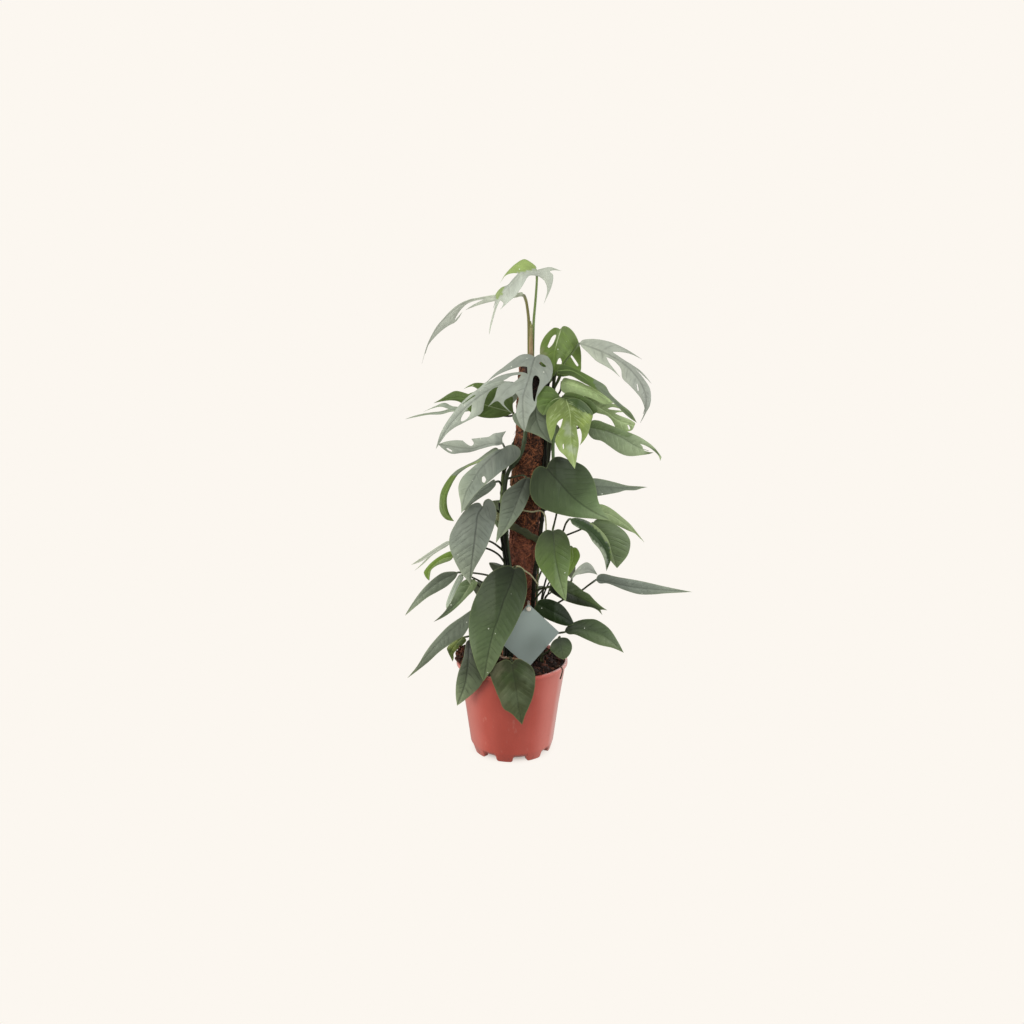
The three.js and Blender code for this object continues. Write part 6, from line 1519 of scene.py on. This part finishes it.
def tieShape():
    size = tieSize
    held = [(np.array([poleX(size["height"]), 0.0]), size["poleRadius"])]
    for name in ("left", "front", "right"):
        across = onVine(name, size["height"])[0] - poleX(size["height"])
        held.append((onVine(name, size["height"] + size["slope"] * across)[:2], size["vineRadius"]))
    turn = np.linspace(0, 2 * np.pi, 721)[:-1]
    way = np.stack([np.cos(turn), np.sin(turn)], 1)
    reach = np.stack([way @ centre + radius for centre, radius in held], 1)
    centre, radius = (np.array(values)[reach.argmax(1)] for values in zip(*held))
    loop = centre + (radius + size["clear"])[:, None] * way
    loop = np.vstack([loop, loop[:1]])
    count, sides = size["stations"], size["sides"]
    stations = np.linspace(0, runAlong(loop)[-1], count + 1)[:-1]
    loop = respaced(loop, count + 1)[:-1]
    along = unit(np.roll(loop, -1, 0) - np.roll(loop, 1, 0))
    out = np.stack([along[:, 1], -along[:, 0]], 1)
    section = np.arange(sides) * 2 * np.pi / sides
    thick = 0.5 * size["thick"] * np.sign(np.cos(section)) * np.abs(np.cos(section))**0.7
    tall = 0.5 * size["width"] * np.sign(np.sin(section)) * np.abs(np.sin(section))**0.7
    pinch = 1 + 0.12 * np.sin(stations / 3.1) + 0.08 * np.sin(stations / 1.7)
    drop = size["height"] + size["slope"] * (loop[:, 0] - poleX(size["height"]))
    points = np.concatenate([loop[:, None] + thick[None, :, None] * out[:, None],
                             (drop[:, None] + pinch[:, None] * tall[None])[..., None]], -1).reshape(-1, 3)
    here, last = np.arange(sides), (count - 1) * sides
    close = np.stack([last + here, here, (here + 1) % sides, last + (here + 1) % sides], 1)
    return {"points": points, "faces": [np.vstack([gridFaces(count, sides, True), close])[:, ::-1]]}


# Olive with fine ridges, lighter on its left as painted light, where painted highlights make the ridges pale
def tieFinish():
    shader = Shader("olive_tie")
    place = shader.place()
    ridges = shader.noise(place, 1.2, 2.0, (0.25, 0.25, 1))
    cloudy = shader.noise(place, 5, 3.0)
    x = shader.parts(place)[0]
    # Painted light on the left, and painted highlights on the ridges there
    pale = shader.step(x, 8, -8) * 0.75 + cloudy * 0.35
    colour = shader.mix(pale, paint("#1f2712"), paint("#686c38"))
    light = shader.step(ridges, 0.55, 0.75) * shader.step(x, 6, -4) * 0.65
    colour = shader.mix(light, shader.scaled(colour, 0.7 + ridges * 0.6), paint("#bcc095"))
    return shader.finish(colour, 0.5, ridges * 0.5)


makePiece("fine_tie", tieShape(), [tieFinish()], "tie_plastic", ["tie_band"])


# Tag: a square card on its corner, with rounded corners and a hole for its peg
tagSize = {"centre": [20, -42, 162], "side": 57, "thick": 0.9, "yaw": 0.34, "corner": 1.6, "hole": 2.0,
           "drop": 5.5}
pegProfile = [[0, 46], [2.6, 46], [3.0, 44.4], [1.5, 43.6], [1.5, 12], [0.2, 9]]    # [radius, reach forward]


# The card's outline is drawn upright and turned by 45 degrees. up holds the height on the card.
def tagShape():
    size = tagSize
    half, corner = size["side"] / 2, size["corner"]
    arc, inset = np.linspace(0, np.pi / 2, 6), half - corner
    signs = [(1, 1), (-1, 1), (-1, -1), (1, -1)]
    ring = np.vstack([np.stack([x * inset + corner * np.cos(arc + i * np.pi / 2),
                                y * inset + corner * np.sin(arc + i * np.pi / 2)], 1)
                      for i, (x, y) in enumerate(signs)])
    ring = np.vstack([np.linspace(a, b, 12)[:-1] if np.linalg.norm(b - a) > 5 else a[None]
                      for a, b in zip(ring, np.roll(ring, -1, 0))])
    turn = math.pi / 4
    ring = ring @ np.array([[math.cos(turn), -math.sin(turn)], [math.sin(turn), math.cos(turn)]]).T
    hole = np.stack([size["hole"] * np.cos(np.arange(24) * np.pi / 12),
                     half * math.sqrt(2) - size["drop"] + size["hole"] * np.sin(np.arange(24) * np.pi / 12)], 1)
    flat, triangles = flatSheet([ring, hole], 3.0)
    across, up = flat.T
    places = np.stack([across * math.cos(size["yaw"]), across * math.sin(size["yaw"]), up], 1) + size["centre"]
    return {**thickened(places, triangles, size["thick"] / 2), "up": np.tile(up, 2)}


# Bare grey-green card, a little paler towards its top
def tagFinish():
    shader = Shader("plain_card")
    place = shader.place()
    higher = shader.step(shader.attribute("up", "Fac"), -26, 30)
    grain = shader.noise(place, 0.6, 3.0)
    cloudy = shader.noise(place, 16, 3.0)
    colour = shader.mix(higher * 0.85 + cloudy * 0.15, paint("#84928c"), paint("#97a59e"))
    colour = shader.scaled(colour, 0.95 + (grain - 0.5) * 0.14)
    return shader.finish(colour, 0.42, grain * 0.03, 1.0, **{"Coat Weight": 0.15, "Coat Roughness": 0.25})


makePiece("fine_tag", tagShape(), [tagFinish()], "tag_card", ["tag_card"])

pegX, pegZ = tagSize["centre"][0], tagSize["centre"][2] + tagSize["side"] / math.sqrt(2) - tagSize["drop"]
peg = turned(pegProfile, 24, 0.5)
peg["points"] = np.stack([pegX + peg["points"][:, 0], -peg["points"][:, 2], pegZ + peg["points"][:, 1]], 1)
peg["faces"] = [face[:, ::-1] for face in peg["faces"]]
makePiece("fine_peg", peg, [woodFinish("peg_wood", "#fbf5ea", "#dccbb6", 1.5)], "pin_wood", ["tag_pin"])
print("tie and tag made")


# Studio
studio = {"paper": "#fcf7f0", "floor": "#f4efe9", "ambient": 0.36, "floorSize": 12, "paperFrom": 0.02,
          "paperTo": 0.058, "lampAim": [0.02, 0, 0.3], "lens": 36 * 988 / 1024, "tilt": 0.207}

scene = bpy.context.scene
scene.view_settings.view_transform = "Standard"


# The paper colour as the camera sees it, and dimmer as a light on the plant
def paperLight(shader, kind):
    seenNow = shader.node("LightPath", out="Is Camera Ray")
    strength = studio["ambient"] + (1 - studio["ambient"]) * seenNow
    return shader.node(kind, None, {"Color": paint(studio["paper"]), "Strength": strength})


world = bpy.data.worlds.new("studio_world")
world.use_nodes = True
shader = Shader(None, world.node_tree)
shader.node("OutputWorld", None, {"Surface": paperLight(shader, "Background")})
scene.world = world

shader = Shader("studio_paper")
x, y, z = shader.parts(shader.place())
away = ((x * x + y * y) ** 0.5) * millimetre
near = shader.node("BsdfDiffuse", None, {"Color": paint(studio["floor"])})
far = paperLight(shader, "Emission")
blend = shader.node("MixShader", None,
                    {0: shader.step(away, studio["paperFrom"], studio["paperTo"]), 1: near, 2: far})
shader.node("OutputMaterial", None, {"Surface": blend})
mesh = bpy.data.meshes.new("studio_floor")
half = studio["floorSize"] / 2
mesh.from_pydata([(-half, -half, 0), (half, -half, 0), (half, half, 0), (-half, half, 0)], [], [(0, 1, 2, 3)])
floor = bpy.data.objects.new("studio_floor", mesh)
scene.collection.objects.link(floor)
mesh.materials.append(shader.material)

# Place and size in metres, power in watts, colour
lamps = {
    "left": [(-1.7, -0.9, 0.5), 1.2, 22, "#fffaf4"],
    "right": [(1.7, -0.8, 0.5), 1.2, 21, "#fbfbff"],
    "front": [(-0.2, -1.6, 1.5), 1.0, 12, "#ffffff"],
    "back": [(0.2, 1.6, 1.3), 1.2, 8, "#ffffff"],
    "leftEdge": [(-1.8, 0.25, 0.35), 0.9, 12, "#ffffff"],
    "rightEdge": [(1.8, 0.5, 0.35), 0.7, 12, "#ffffff"],
}
for name, (place, size, power, colour) in lamps.items():
    data = bpy.data.lights.new(name, "AREA")
    data.size, data.energy, data.color = size, power, paint(colour)[:3]
    lamp = bpy.data.objects.new(name, data)
    scene.collection.objects.link(lamp)
    lamp.location = place
    toward = np.array(studio["lampAim"]) - place
    lamp.rotation_euler = (math.acos(-toward[2] / np.linalg.norm(toward)), 0,
                           math.atan2(toward[1], toward[0]) - math.pi / 2)

lens = bpy.data.cameras.new("camera")
lens.sensor_width, lens.lens = 36, studio["lens"]
lens.clip_start, lens.clip_end = 0.05, 50
camera = bpy.data.objects.new("camera", lens)
scene.collection.objects.link(camera)
camera.location = (0, -eyeDistance * millimetre, eyeHeight * millimetre)
camera.rotation_euler = (math.pi / 2 - studio["tilt"], 0, 0)
scene.camera = camera
print("studio made")
